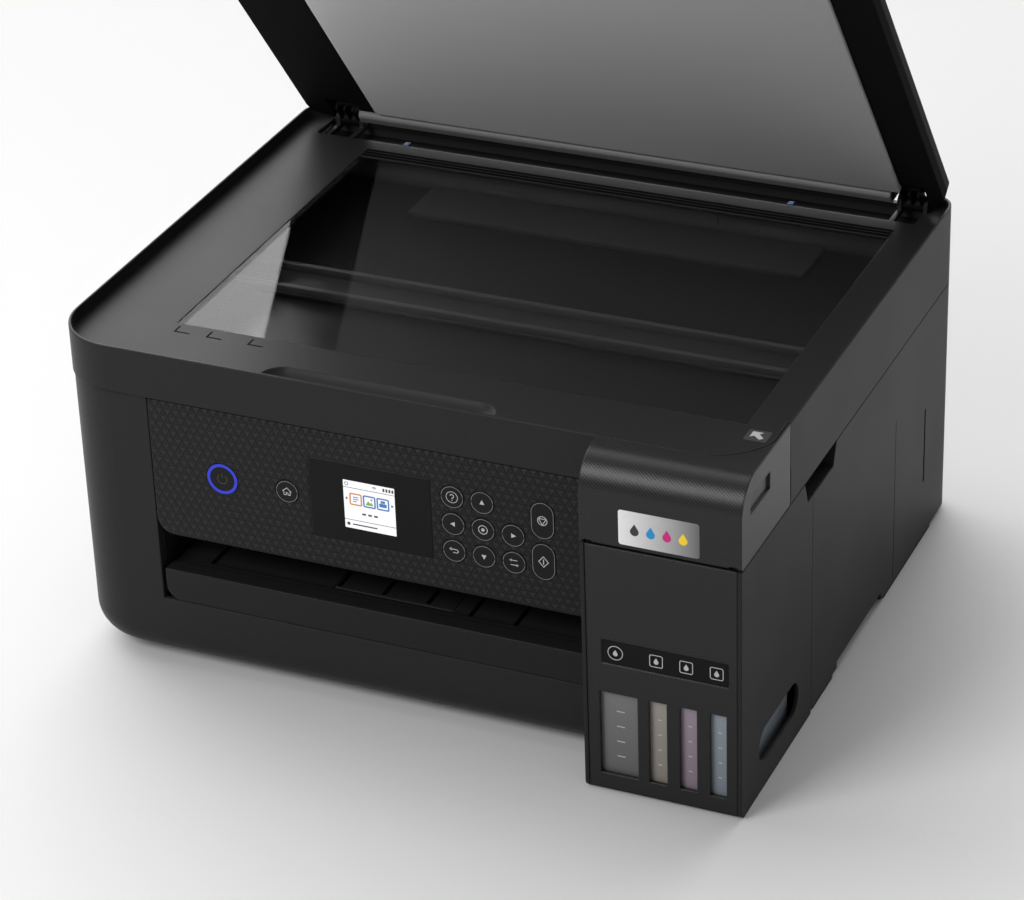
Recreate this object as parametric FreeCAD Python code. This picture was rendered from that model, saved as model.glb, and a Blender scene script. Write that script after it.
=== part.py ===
import FreeCAD
import Part
import os

# An all-in-one ink-tank printer with its document lid open.
# Millimetres: X to the right, Y to the back, Z up, origin under the middle of the footprint.

# Overall size and outer faces
WIDTH = 375.0
DEPTH = 347.0
HALF_WIDTH = WIDTH / 2
TANK_FRONT = -DEPTH / 2
FEED_BACK = DEPTH / 2
FRONT = TANK_FRONT + 25.5
SCANNER_FRONT = FRONT - 1.5
BACK = FEED_BACK - 22.0
FRONT_CORNER_RADIUS = 33.0
BACK_CORNER_RADIUS = 14.0
CASE_WALL = 2.5

# Levels
FOOT_HEIGHT = 3.0
CASE_TOP = 155.9
SEAM_GAP = 0.6
SIDE_TOP = 137.2
RIM_TOP = 181.4
RIM_HEIGHT = 7.0
RIM_WALL = 1.4
SIDE_STEP = 1.5
DECK_TOP = RIM_TOP - RIM_HEIGHT
DECK_THICKNESS = 2.5
LID_TOP = 187.0
BOTTOM_EDGE_RADIUS = 18.0

# General clearances
SLIDE_GAP = 0.3
PART_GAP = 0.5
PIN_GAP = 0.05

# Ink tank module at the front right
TANK_LEFT = HALF_WIDTH - 80.2
TANK_BACK = TANK_FRONT + 98.0
TANK_TOP = SIDE_TOP
TANK_WALL = 2.0
TANK_EDGE_RADIUS = 4.0
COVER_CURVE = 18.0
COVER_BACK = TANK_FRONT + 65.3
WINDOW_BOTTOM = 10.5
WINDOW_TOP = 57.0
WINDOWS = {
    "black": (TANK_LEFT + 8.2, TANK_LEFT + 27.6),
    "yellow": (TANK_LEFT + 33.2, TANK_LEFT + 42.4),
    "magenta": (TANK_LEFT + 48.9, TANK_LEFT + 57.6),
    "cyan": (TANK_LEFT + 64.1, TANK_LEFT + 72.5),
}
TANK_MARGIN = 2.6

# Document lid
LID_OPEN_ANGLE = 52.0
LID_AXIS_Y = BACK - 6.5
LID_AXIS_Z = 178.0
LID_HALF_WIDTH = HALF_WIDTH - SIDE_STEP - RIM_WALL - SLIDE_GAP
LID_BACK = LID_AXIS_Y - 2.0
LID_UNDERSIDE = DECK_TOP + 1.8
MAT_UNDERSIDE = DECK_TOP + 0.2
MAT_LEFT = -HALF_WIDTH + 48.0
MAT_RIGHT = HALF_WIDTH - 25.5
MAT_FRONT = FRONT + 30.0
MAT_BACK = BACK - 22.0
HINGE_CENTRES = (-HALF_WIDTH + 27.5, HALF_WIDTH - 21.5)
HINGE_WIDTH = 11.0
HINGE_RADIUS = 4.4
HINGE_PIN_RADIUS = 2.0
EAR_THICKNESS = 2.5

# Scanner glass and bed
GLASS_LEFT = -HALF_WIDTH + 49.5
GLASS_RIGHT = HALF_WIDTH - 23.5
GLASS_FRONT = FRONT + 44.6
GLASS_BACK = BACK - 44.5
GLASS_THICKNESS = 3.0
GLASS_DROP = 0.2
BED_FLOOR = 150.0
BED_WALL = 2.0
SLOT_FRONT = BACK - 24.5

# Control panel
PANEL_LEFT = -HALF_WIDTH + 54.5
PANEL_RIGHT = TANK_LEFT - PART_GAP
PANEL_BOTTOM = 79.3
PANEL_TOP = CASE_TOP - 0.2
PANEL_THICKNESS = 3.0
PANEL_CORNER = 9.0
PANEL_AXIS_Y = FRONT + 2.6
PANEL_AXIS_Z = PANEL_TOP - 2.6
BUTTON_RADIUS = 6.2
BUTTON_GAP = 0.2
BUTTON_DEPTH = 2.0
BUTTON_COLUMNS = (PANEL_RIGHT - 76.1, PANEL_RIGHT - 60.4, PANEL_RIGHT - 44.7)
BUTTON_ROWS = (132.2, 117.3, 102.3)
LONG_BUTTON_X = PANEL_RIGHT - 29.2
LONG_BUTTON_HEIGHT = 20.3
POWER_RADIUS = 8.4
KEY_BLOCK_WIDTH = 82.3
SCREEN_WIDTH = 65.4
PANEL_FILLED = KEY_BLOCK_WIDTH + SCREEN_WIDTH + 2 * POWER_RADIUS + 2 * BUTTON_RADIUS
PANEL_SPARE = PANEL_RIGHT - PANEL_LEFT - PANEL_FILLED
POWER_X = PANEL_LEFT + 0.485 * PANEL_SPARE + POWER_RADIUS
HOME_X = POWER_X + POWER_RADIUS + 0.334 * PANEL_SPARE + BUTTON_RADIUS
SCREEN_LEFT = HOME_X + BUTTON_RADIUS + 0.1 * PANEL_SPARE
SCREEN = (SCREEN_LEFT, SCREEN_LEFT + SCREEN_WIDTH, 95.5, 139.7)
SCREEN_THICKNESS = 1.2

# Paper output tray
TRAY_LEFT = PANEL_LEFT + 1.8
TRAY_RIGHT = PANEL_RIGHT - 1.0
TRAY_BOTTOM = 40.5
TRAY_TOP = 58.0
TRAY_FACE = 9.0
TRAY_RIB_COUNT = 5

# Print mechanism
ROLLER_LEFT = -HALF_WIDTH + 36.5
ROLLER_RIGHT = TANK_LEFT + 0.7
FEED_ROLLER_Y = 28.0
EJECT_ROLLER_Y = -45.0
ROLLER_Z = 68.0
FEED_ROLLER_RADIUS = 5.0
EJECT_ROLLER_RADIUS = 7.0
SHAFT_RADIUS = 4.0
RAIL_LEFT = -HALF_WIDTH + 15.5
RAIL_RIGHT = HALF_WIDTH - 11.5
RAIL_BACK = 60.0
RAIL_SHEET = 2.0
RAIL_BOTTOM = 84.0
RAIL_TOP = 142.0
CARRIAGE_LEFT = HALF_WIDTH - 105.5
CARRIAGE_WIDTH = 88.0
BELT_Y = (46.0, 54.0)
PULLEY_RADIUS = 6.0
PULLEY_Z = 98.0
DRIVE_PULLEY_X = HALF_WIDTH - 47.5
IDLER_PULLEY_X = -HALF_WIDTH + 37.5
BELT_THICKNESS = 1.2

# Rear paper feed
FEED_LEFT = -HALF_WIDTH + 52.5
FEED_RIGHT = HALF_WIDTH - 77.5
FEED_BOTTOM = 60.0
FEED_TOP = 140.0
PAPER_LEFT = FEED_LEFT + 13.0
PAPER_RIGHT = FEED_RIGHT - 12.0
PAPER_SLOT = (BACK + 6.0, BACK + 14.0)
SUPPORT_SLOT = (BACK + 15.7, BACK + 18.8)

# Details of the lower case
ARCH_DEPTH = 17.5
ARCH_FRONT = TANK_BACK + 39.5
ARCH_BACK = BACK - 117.5
ARCH_TOP = 7.0
ARCH_ROOM = 25.0
NOTCH_MIDDLE = TANK_BACK + 11.5
NOTCH_LENGTH = 47.0
NOTCH_SLOPE = 5.0
NOTCH_HEIGHT = 12.0
NOTCH_DEPTH = 7.0
CHEEK = PANEL_LEFT - PART_GAP
CHEEK_BACK = TANK_BACK + 2.0
CHEEK_TOP_BACK = FRONT + 38.0
CHEEK_STEP = 62.0
TRAY_LEDGE = 45.0
LEDGE_REACH = 8.0
SKIRT_REACH = 8.0
SKIRT_GAP = 1.1
BACK_WALL_TOP = 150.0
PAPER_GATE = (66.0, 86.0)
PANEL_PIN_RADIUS = 1.5
INLET_X = -HALF_WIDTH + 127.5
INLET_Z = 40.0
INLET_HALF_WIDTH = 12.0
INLET_HALF_HEIGHT = 9.0
PORT_X = HALF_WIDTH - 127.5
PORT_Z = 40.0
PORT_HALF_WIDTH = 7.0
PORT_HALF_HEIGHT = 6.5
SOCKET_DEPTH = 12.0
SOCKET_GAP = 0.5
GROOVE_Y = BACK - 48.0
GROOVE_Z = (36.0, 80.0)
SEAM_Y = BACK - 98.0
SEAM_TOP = 99.0
FOOT_PADS = (
    (-HALF_WIDTH + 21.5, -HALF_WIDTH + 75.5, FRONT + 20.0, FRONT + 63.0),
    (-HALF_WIDTH + 21.5, -HALF_WIDTH + 75.5, BACK - 91.5, BACK - 29.5),
    (HALF_WIDTH - 52.5, HALF_WIDTH - 0.5, ARCH_BACK + 4.0, BACK - 29.5),
    (HALF_WIDTH - 52.5, HALF_WIDTH - 0.5, TANK_BACK + 1.5, ARCH_FRONT - 2.0),
)

# Details of the ink tank module
COVER_AXIS_Y = TANK_FRONT + 2.2
COVER_AXIS_Z = TANK_TOP + SEAM_GAP + 2.2
COVER_PIN = 1.0
COVER_EAR = 3.0
COVER_EAR_RADIUS = 1.5
COVER_EAR_FOOT = 8.0
COVER_THIN_WALL = 1.0
COVER_THIN_FRONT = COVER_BACK - 22.8
PLATE_THICKNESS = 2.0
PLATE_DROP = 0.3
PLATE_ROOM = TANK_FRONT + PLATE_DROP + PLATE_THICKNESS + SLIDE_GAP
EAR_BACK = PLATE_ROOM + 2.1
COVER_FINGER = (TANK_FRONT + 11.5, TANK_FRONT + 37.5, 162.0, 171.0)
SIDE_SLOT = (TANK_FRONT + 23.5, TANK_FRONT + 79.5, 15.0, 33.6)
LABEL = (TANK_LEFT + 9.7, TANK_LEFT + 73.7, 73.0, 86.5)
INK_BACK = TANK_FRONT + 77.5
INK_TOP = 122.0
INK_WALL = 1.5
NECK_TOP = 131.0
NECK_Y = TANK_FRONT + 13.5
NECK_RADIUS = 4.2
CAP_AXIS_Y = NECK_Y + 14.5
CAP_AXIS_Z = NECK_TOP + SLIDE_GAP + 1.5
CAP_HALF = 2.6
CAP_PIN = 1.2

# Details of the scanner unit
SLOT_MARGIN = 14.0
SCOOP_LEFT = -75.0
SCOOP_RIGHT = 50.0
SCOOP_RADIUS = 14.0
SCOOP_DEPTH = 6.0
SCOOP_HALF_DEPTH = 10.0
SCOOP_END = 12.0
SCOOP_WALL = 1.5
BED_FRONT = COVER_BACK + 3.4
BED_BACK = BACK - 30.5
STEP_LEFT = GLASS_LEFT + 38.0
STEP_RIGHT = GLASS_RIGHT - 39.0
STEP_FRONT = BED_BACK - 35.0
STEP_TOP = 155.0
RECESS_CENTRES = (GLASS_LEFT + 80.0, GLASS_RIGHT - 87.0)
RAIL_BED_LEFT = -HALF_WIDTH + 11.5
RAIL_BED_RIGHT = HALF_WIDTH - 11.5
SENSOR_RAIL_Y = -8.0
SENSOR_RAIL_TOP = 158.0
SENSOR_X = -HALF_WIDTH + 23.5
SENSOR_WIDTH = 22.0
SCANNER_AXIS_Y = BACK - 8.5
SCANNER_AXIS_Z = 157.0
SCANNER_LUGS = (-HALF_WIDTH + 37.5, HALF_WIDTH - 37.5)
SCANNER_PIN = 2.5
LUG_BACK = SCANNER_AXIS_Y - 8.0

# Details of the lid
LID_WALL = 2.0
MAT_THICKNESS = 3.0
BAR_LEFT = HINGE_CENTRES[0] + 9.0
BAR_RIGHT = HINGE_CENTRES[1] - 10.0
BAR_FRONT = MAT_BACK + 2.5
BAR_BACK = BAR_FRONT + 9.0
BAR_BOTTOM = 173.0
BAR_TOP = 180.0

# Details of the panel and tray
HOUSING_DEPTH = 15.0
BUTTON_PROUD = 0.2
STAGE_FRONT = FRONT + TRAY_FACE + 1.0
STAGE_BACK = 0.0
STAGE_THICKNESS = 3.0
PLATE_BACK = STAGE_BACK - 25.0
STOPPER = (-45.0, 20.0)
STOPPER_AXIS_Y = FRONT + TRAY_FACE + 10.0
STOPPER_HALF = 2.0
STOPPER_AXIS_Z = TRAY_TOP - 4.5
STOPPER_LENGTH = 16.0
STOPPER_PIN = 1.0

# Details of the mechanism and the rear feed
RAIL_FRONT = 44.0
CARRIAGE_FRONT = -22.0
CARRIAGE_BOTTOM = 80.0
HEAD_INSET = 12.0
HEAD_HEIGHT = 8.0
DRIVE_RADIUS = 9.0
NOTCH_IN_RIM = 1.5
IDLER_PIN = 2.0
MOTOR_SHAFT = 2.0
SUPPORT_X = (FEED_LEFT + 35.0, FEED_RIGHT - 34.0)
SUPPORT_CORNER = 10.0
GUIDE_THICKNESS = 3.0
BASE_PLATE = 3.0
SUPPLY_WIDTH = 60.0
SUPPLY_FRONT = BACK - 90.0
SUPPLY_TOP = INLET_Z + 14.0
BOARD_THICKNESS = 1.6
MOTOR_RADIUS = 15.0
MOTOR_LENGTH = 30.0
FLAP_AXIS_Y = PAPER_SLOT[1] + 0.3
FLAP_AXIS_Z = FEED_TOP + 1.6
FLAP_PIN = 0.8


def box(x0, x1, y0, y1, z0, z1):
    corner = FreeCAD.Vector(x0, y0, z0)
    return Part.makeBox(x1 - x0, y1 - y0, z1 - z0, corner)


def rod_x(x0, x1, y, z, radius):
    return Part.makeCylinder(radius, x1 - x0, FreeCAD.Vector(x0, y, z), FreeCAD.Vector(1, 0, 0))


def rod_y(y0, y1, x, z, radius):
    return Part.makeCylinder(radius, y1 - y0, FreeCAD.Vector(x, y0, z), FreeCAD.Vector(0, 1, 0))


def rod_z(z0, z1, x, y, radius):
    return Part.makeCylinder(radius, z1 - z0, FreeCAD.Vector(x, y, z0), FreeCAD.Vector(0, 0, 1))


def joined(first, *others):
    return first.fuse(list(others)).removeSplitter()


def without(shape, *tools):
    return shape.cut(list(tools))


def round_edges(shape, radius, axis, **at):
    """Round the straight edges along one axis that lie at the given coordinates."""
    chosen = []
    for edge in shape.Edges:
        a, b = edge.Vertexes[0].Point, edge.Vertexes[-1].Point
        along = abs(getattr(b - a, axis))
        if along < 0.999 * max(edge.Length, 1e-6) or along < 0.01:
            continue
        middle = (a + b) * 0.5
        if all(abs(getattr(middle, name) - value) < 0.05 for name, value in at.items()):
            chosen.append(edge)
    return shape.makeFillet(radius, chosen)


def rounded_block(x0, x1, y0, y1, z0, z1, front_left=0, front_right=0, back_right=0, back_left=0):
    """An upright block whose four vertical edges have their own radii."""
    block = box(x0, x1, y0, y1, z0, z1)
    corners = ((x0, y0, front_left), (x1, y0, front_right), (x1, y1, back_right), (x0, y1, back_left))
    for x, y, radius in corners:
        if radius > 0:
            block = round_edges(block, radius, "z", x=x, y=y)
    return block


def slot_face(x0, x1, y0, y1, z0, z1):
    """A block with fully rounded ends, seen from the front."""
    across, tall = x1 - x0, z1 - z0
    radius = min(across, tall) / 2
    if tall > across:
        x = (x0 + x1) / 2
        middle = box(x0, x1, y0, y1, z0 + radius, z1 - radius)
        ends = [rod_y(y0, y1, x, z, radius) for z in (z0 + radius, z1 - radius)]
    else:
        z = (z0 + z1) / 2
        middle = box(x0 + radius, x1 - radius, y0, y1, z0, z1)
        ends = [rod_y(y0, y1, x, z, radius) for x in (x0 + radius, x1 - radius)]
    return joined(middle, *ends)


def case_block(inset, floor, top):
    """The lower case as a solid, drawn in by a wall for its inside."""
    left, right = -HALF_WIDTH + inset, HALF_WIDTH - inset
    front, back = FRONT + inset, BACK - inset
    block = rounded_block(left, right, front, back, floor, top, front_left=FRONT_CORNER_RADIUS - inset)
    low = [
        edge
        for edge in block.Edges
        if abs(edge.BoundBox.ZMax - floor) < 0.01
        and edge.CenterOfMass.x < right - 1
        and edge.CenterOfMass.y < back - 1
    ]
    block = block.makeFillet(BOTTOM_EDGE_RADIUS - inset, low)
    corner = BACK_CORNER_RADIUS - inset
    block = block.common(
        rounded_block(left, right, front, back, floor, top, back_left=corner, back_right=corner)
    )
    arch = box(right - ARCH_DEPTH, right + 1, ARCH_FRONT - inset, ARCH_BACK + inset, 0, ARCH_TOP + inset)
    return without(block, arch)


def lift_notch(grow, x0, x1):
    """The finger notch below the scanner's right edge, seen from the side."""
    half_low, half_high = NOTCH_LENGTH / 2 - NOTCH_SLOPE + grow, NOTCH_LENGTH / 2 + grow
    low, high = SIDE_TOP - NOTCH_HEIGHT - grow, SIDE_TOP + 1
    points = [
        FreeCAD.Vector(x0, NOTCH_MIDDLE - half_high, high),
        FreeCAD.Vector(x0, NOTCH_MIDDLE - half_low, low),
        FreeCAD.Vector(x0, NOTCH_MIDDLE + half_low, low),
        FreeCAD.Vector(x0, NOTCH_MIDDLE + half_high, high),
    ]
    face = Part.Face(Part.makePolygon(points + points[:1]))
    return face.extrude(FreeCAD.Vector(x1 - x0, 0, 0))


def notch_walls(y0, y1):
    """The pocket behind the finger notch between two depths of the case."""
    inside = HALF_WIDTH - NOTCH_DEPTH
    pocket = lift_notch(CASE_WALL, inside - CASE_WALL, HALF_WIDTH)
    return pocket.common(box(0, HALF_WIDTH, y0, y1, 0, SIDE_TOP))


def back_window(x, half_width, z, half_height, inset):
    """A block that runs through the back wall, drawn in a little for the socket in it."""
    half_width, half_height = half_width - inset, half_height - inset
    front, back = BACK - SOCKET_DEPTH, BACK + 1 - inset
    return box(x - half_width, x + half_width, front, back, z - half_height, z + half_height)


def lower_case():
    shell = without(
        case_block(0, FOOT_HEIGHT, CASE_TOP),
        case_block(CASE_WALL, FOOT_HEIGHT + CASE_WALL, CASE_TOP + 1),
    )
    opening = box(CHEEK, TANK_LEFT, FRONT - 1, FRONT + CASE_WALL + 1, TRAY_BOTTOM - PART_GAP, CASE_TOP + 1)
    tank_bay = box(TANK_LEFT - PART_GAP, HALF_WIDTH + 1, FRONT - 1, TANK_BACK + SLIDE_GAP, 0, CASE_TOP + 1)
    side_step = box(HALF_WIDTH - SKIRT_REACH, HALF_WIDTH + 1, FRONT, BACK + 1, SIDE_TOP, CASE_TOP + 1)
    back_step = box(-HALF_WIDTH - 1, HALF_WIDTH + 1, BACK - 20, BACK + 1, BACK_WALL_TOP, CASE_TOP + 1)
    paper_gate = box(PAPER_LEFT, PAPER_RIGHT, BACK - CASE_WALL - 1, BACK + 1, PAPER_GATE[0], PAPER_GATE[1])
    cheek = joined(
        box(CHEEK - CASE_WALL, CHEEK, FRONT + 1, CHEEK_TOP_BACK, FOOT_HEIGHT + 1, CASE_TOP),
        box(CHEEK - CASE_WALL, CHEEK, FRONT + 1, CHEEK_BACK, FOOT_HEIGHT + 1, CHEEK_STEP),
    )
    cheek = cheek.common(case_block(0, FOOT_HEIGHT, CASE_TOP))
    pin_hole = rod_x(CHEEK - CASE_WALL - 1, CHEEK + 1, PANEL_AXIS_Y, PANEL_AXIS_Z, PANEL_PIN_RADIUS + PIN_GAP)
    shell = joined(shell, cheek, notch_walls(TANK_BACK + SLIDE_GAP, BACK))
    ledge = box(CHEEK - 1, CHEEK + LEDGE_REACH, FRONT + 20, CHEEK_BACK, TRAY_LEDGE - 2, TRAY_LEDGE)
    shell = joined(shell, ledge)
    inlet = back_window(INLET_X, INLET_HALF_WIDTH, INLET_Z, INLET_HALF_HEIGHT, 0)
    port = back_window(PORT_X, PORT_HALF_WIDTH, PORT_Z, PORT_HALF_HEIGHT, 0)
    groove = box(HALF_WIDTH - 1, HALF_WIDTH + 1, GROOVE_Y - 1, GROOVE_Y + 1, *GROOVE_Z)
    seam = box(HALF_WIDTH - 0.6, HALF_WIDTH + 1, SEAM_Y - 0.3, SEAM_Y + 0.3, FOOT_HEIGHT, SEAM_TOP)
    notch = lift_notch(0, HALF_WIDTH - NOTCH_DEPTH, HALF_WIDTH + 1)
    return without(
        shell, opening, tank_bay, side_step, back_step, paper_gate, pin_hole, inlet, port, groove, seam, notch
    )


def rubber_feet():
    pads = []
    for x0, x1, y0, y1 in FOOT_PADS:
        pad = rounded_block(x0, x1, y0, y1, 0, FOOT_HEIGHT, 4, 4, 4, 4)
        pads.append(pad)
    return Part.makeCompound(pads)


def cover_ear(wall, inward):
    """One ear on the tank housing that carries a pin of the tank cover."""
    x0, x1 = sorted((wall + inward * SLIDE_GAP * 2, wall + inward * COVER_EAR))
    foot0, foot1 = sorted((wall - inward, wall + inward * COVER_EAR))
    foot = box(foot0, foot1, PLATE_ROOM, EAR_BACK, TANK_TOP - COVER_EAR_FOOT, TANK_TOP)
    neck = box(x0, x1, PLATE_ROOM, EAR_BACK, TANK_TOP - 1, COVER_AXIS_Z + COVER_EAR_RADIUS)
    eye = rod_x(x0, x1, COVER_AXIS_Y, COVER_AXIS_Z, COVER_EAR_RADIUS)
    return [foot, neck, eye]


def tank_housing():
    right = HALF_WIDTH
    block = rounded_block(TANK_LEFT, right, TANK_FRONT, TANK_BACK, 0, TANK_TOP)
    block = round_edges(block, TANK_EDGE_RADIUS, "x", y=TANK_FRONT, z=0)
    inside = box(
        TANK_LEFT + TANK_WALL, right - TANK_WALL, TANK_FRONT - 1, TANK_BACK - TANK_WALL,
        TANK_WALL, TANK_TOP + 1,
    )
    shell = without(block, inside)
    sill = box(TANK_LEFT, right, PLATE_ROOM, EAR_BACK, 0, TANK_WALL + 2)
    panel_ear = box(
        TANK_LEFT, TANK_LEFT + CASE_WALL, FRONT - 0.5, FRONT + 7, TANK_TOP - 20, PANEL_AXIS_Z + 2.6
    )
    pin_hole = rod_x(TANK_LEFT - 1, TANK_LEFT + 5, PANEL_AXIS_Y, PANEL_AXIS_Z, PANEL_PIN_RADIUS + PIN_GAP)
    ears = cover_ear(TANK_LEFT + TANK_WALL, 1) + cover_ear(right - TANK_WALL, -1)
    ledge = box(
        TANK_LEFT - LEDGE_REACH, TANK_LEFT + 1, FRONT + 20, TANK_BACK - 1, TRAY_LEDGE - 2, TRAY_LEDGE
    )
    shell = joined(shell, sill, ledge, panel_ear, notch_walls(TANK_BACK - NOTCH_LENGTH, TANK_BACK), *ears)
    hole_radius = COVER_PIN + PIN_GAP
    cover_holes = rod_x(TANK_LEFT + TANK_WALL, right - TANK_WALL, COVER_AXIS_Y, COVER_AXIS_Z, hole_radius)
    side_slot = slot_side(right - TANK_WALL - 1, right + 1, *SIDE_SLOT)
    notch = lift_notch(0, right - NOTCH_DEPTH, right + 1)
    return without(shell, pin_hole, cover_holes, side_slot, notch)


def slot_side(x0, x1, y0, y1, z0, z1):
    """A block with fully rounded ends, seen from the side."""
    radius, z = (z1 - z0) / 2, (z0 + z1) / 2
    middle = box(x0, x1, y0 + radius, y1 - radius, z0, z1)
    ends = [rod_x(x0, x1, y, z, radius) for y in (y0 + radius, y1 - radius)]
    return joined(middle, *ends)


def tank_front_plate():
    front = TANK_FRONT + PLATE_DROP
    left, right = TANK_LEFT + TANK_WALL + SLIDE_GAP, HALF_WIDTH - TANK_WALL - SLIDE_GAP
    plate = box(left, right, front, front + PLATE_THICKNESS, TANK_WALL + SLIDE_GAP, TANK_TOP)
    windows = [
        box(x0, x1, front - 1, front + 3, WINDOW_BOTTOM, WINDOW_TOP) for x0, x1 in WINDOWS.values()
    ]
    label = box(*LABEL[:2], front - 1, front + 0.5, *LABEL[2:])
    return without(plate, label, *windows)


def tank_middle(colour):
    return sum(WINDOWS[colour]) / 2


def ink_tank(colour):
    x0, x1 = WINDOWS[colour]
    x0, x1 = x0 - TANK_MARGIN, x1 + TANK_MARGIN
    y0 = PLATE_ROOM + SLIDE_GAP
    z0 = TANK_WALL + 2 + SLIDE_GAP
    x = tank_middle(colour)
    body = box(x0, x1, y0, INK_BACK, z0, INK_TOP)
    inside = box(
        x0 + INK_WALL, x1 - INK_WALL, y0 + INK_WALL, INK_BACK - INK_WALL, z0 + INK_WALL, INK_TOP - INK_WALL
    )
    neck = rod_z(INK_TOP - 1, NECK_TOP, x, NECK_Y, NECK_RADIUS + 1)
    bore = rod_z(INK_TOP - INK_WALL - 1, NECK_TOP + 1, x, NECK_Y, NECK_RADIUS)
    ears = []
    for side in (-1, 1):
        near, far = x + side * (CAP_HALF + SLIDE_GAP), x + side * (CAP_HALF + SLIDE_GAP + 2)
        near, far = min(near, far), max(near, far)
        ears.append(box(near, far, CAP_AXIS_Y - 2.4, CAP_AXIS_Y + 2.4, INK_TOP - 1, CAP_AXIS_Z))
        ears.append(rod_x(near, far, CAP_AXIS_Y, CAP_AXIS_Z, 2.4))
    pin_hole = rod_x(x - 9, x + 9, CAP_AXIS_Y, CAP_AXIS_Z, CAP_PIN + PIN_GAP)
    return without(joined(body, neck, *ears), inside, bore, pin_hole)


def tank_cap(colour):
    x = tank_middle(colour)
    barrel = rod_x(x - CAP_HALF, x + CAP_HALF, CAP_AXIS_Y, CAP_AXIS_Z, 2.0)
    low = NECK_TOP + SLIDE_GAP
    lever = box(x - CAP_HALF, x + CAP_HALF, NECK_Y - 8, CAP_AXIS_Y, low, low + 3)
    tab = rounded_block(x - 4.5, x + 4.5, NECK_Y - 8, NECK_Y + 6, low, low + 3, 3, 3, 0, 0)
    plug = rod_z(low - 4, low + 1, x, NECK_Y, NECK_RADIUS - 0.9)
    pin = rod_x(x - CAP_HALF - 2.2, x + CAP_HALF + 2.2, CAP_AXIS_Y, CAP_AXIS_Z, CAP_PIN)
    return joined(barrel, lever, tab, plug, pin)


def tank_cover():
    bottom = TANK_TOP + SEAM_GAP
    back = COVER_BACK
    left, right = TANK_LEFT, HALF_WIDTH
    outer = box(left, right, TANK_FRONT, back, bottom, RIM_TOP)
    outer = round_edges(outer, COVER_CURVE, "x", y=TANK_FRONT, z=RIM_TOP)
    outer = round_edges(outer, COVER_AXIS_Z - bottom, "x", y=TANK_FRONT, z=bottom)
    wall = TANK_WALL
    inner = box(left + wall, right - wall, TANK_FRONT + wall, back + 1, bottom - 1, RIM_TOP - wall)
    inner = round_edges(inner, COVER_CURVE - wall, "x", y=TANK_FRONT + wall, z=RIM_TOP - wall)
    shell = without(outer, inner, scanner_block(-PART_GAP, CASE_TOP, RIM_TOP + 1))
    left_rest = box(left - 1, left + 5, SCANNER_FRONT - PART_GAP, back + 1, bottom - 1, RIM_TOP + 1)
    finger = box(right - 1.2, right + 1, *COVER_FINGER)
    thin_side = box(
        right - wall - 1, right - COVER_THIN_WALL, COVER_THIN_FRONT, back + 1, bottom - 1, RIM_TOP - wall
    )
    shell = without(shell, left_rest, finger, thin_side)
    pins = []
    for inner_face, inward in ((left + wall, 1), (right - wall, -1)):
        x0, x1 = sorted((inner_face - inward, inner_face + inward * COVER_EAR))
        pins.append(rod_x(x0, x1, COVER_AXIS_Y, COVER_AXIS_Z, COVER_PIN))
        n0, n1 = sorted((inner_face, inner_face + inward * (COVER_EAR + 1)))
        room = COVER_EAR_RADIUS + 0.1
        ear_room = box(n0, n1, COVER_AXIS_Y - room, COVER_AXIS_Y + 4, bottom - 1, COVER_AXIS_Z + 2)
        lip_room = box(n0, n1, TANK_FRONT - 1, COVER_AXIS_Y, bottom - 1, COVER_AXIS_Z - SLIDE_GAP)
        shell = without(shell, ear_room, lip_room)
    return joined(shell, *pins)


def scanner_block(inset, z0, z1):
    """The scanner unit's outline as a solid; its right side steps in behind the tank cover."""
    left, right = -HALF_WIDTH + inset, HALF_WIDTH - inset
    front_corner, back_corner = FRONT_CORNER_RADIUS - inset, BACK_CORNER_RADIUS - inset
    block = rounded_block(
        left, right, SCANNER_FRONT + inset, BACK - inset, z0, z1,
        front_corner, front_corner, back_corner, back_corner,
    )
    step_back = COVER_BACK + SLIDE_GAP + inset
    step = box(right - SIDE_STEP, right + 1, SCANNER_FRONT - 1, step_back, z0 - 1, z1 + 1)
    return without(block, step)


def hinge_ears(centre):
    """Two rounded ears that carry one lid hinge."""
    ears = []
    for side in (-1, 1):
        near = centre + side * (HINGE_WIDTH / 2 + SLIDE_GAP)
        x0, x1 = sorted((near, near + side * EAR_THICKNESS))
        base = DECK_TOP - DECK_THICKNESS
        ears.append(box(x0, x1, LID_AXIS_Y - HINGE_RADIUS, LID_AXIS_Y + HINGE_RADIUS, base, LID_AXIS_Z))
        ears.append(box(x0, x1, SLOT_FRONT - 2, LID_AXIS_Y, base, DECK_TOP))
        ears.append(rod_x(x0, x1, LID_AXIS_Y, LID_AXIS_Z, HINGE_RADIUS))
    return ears


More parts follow.
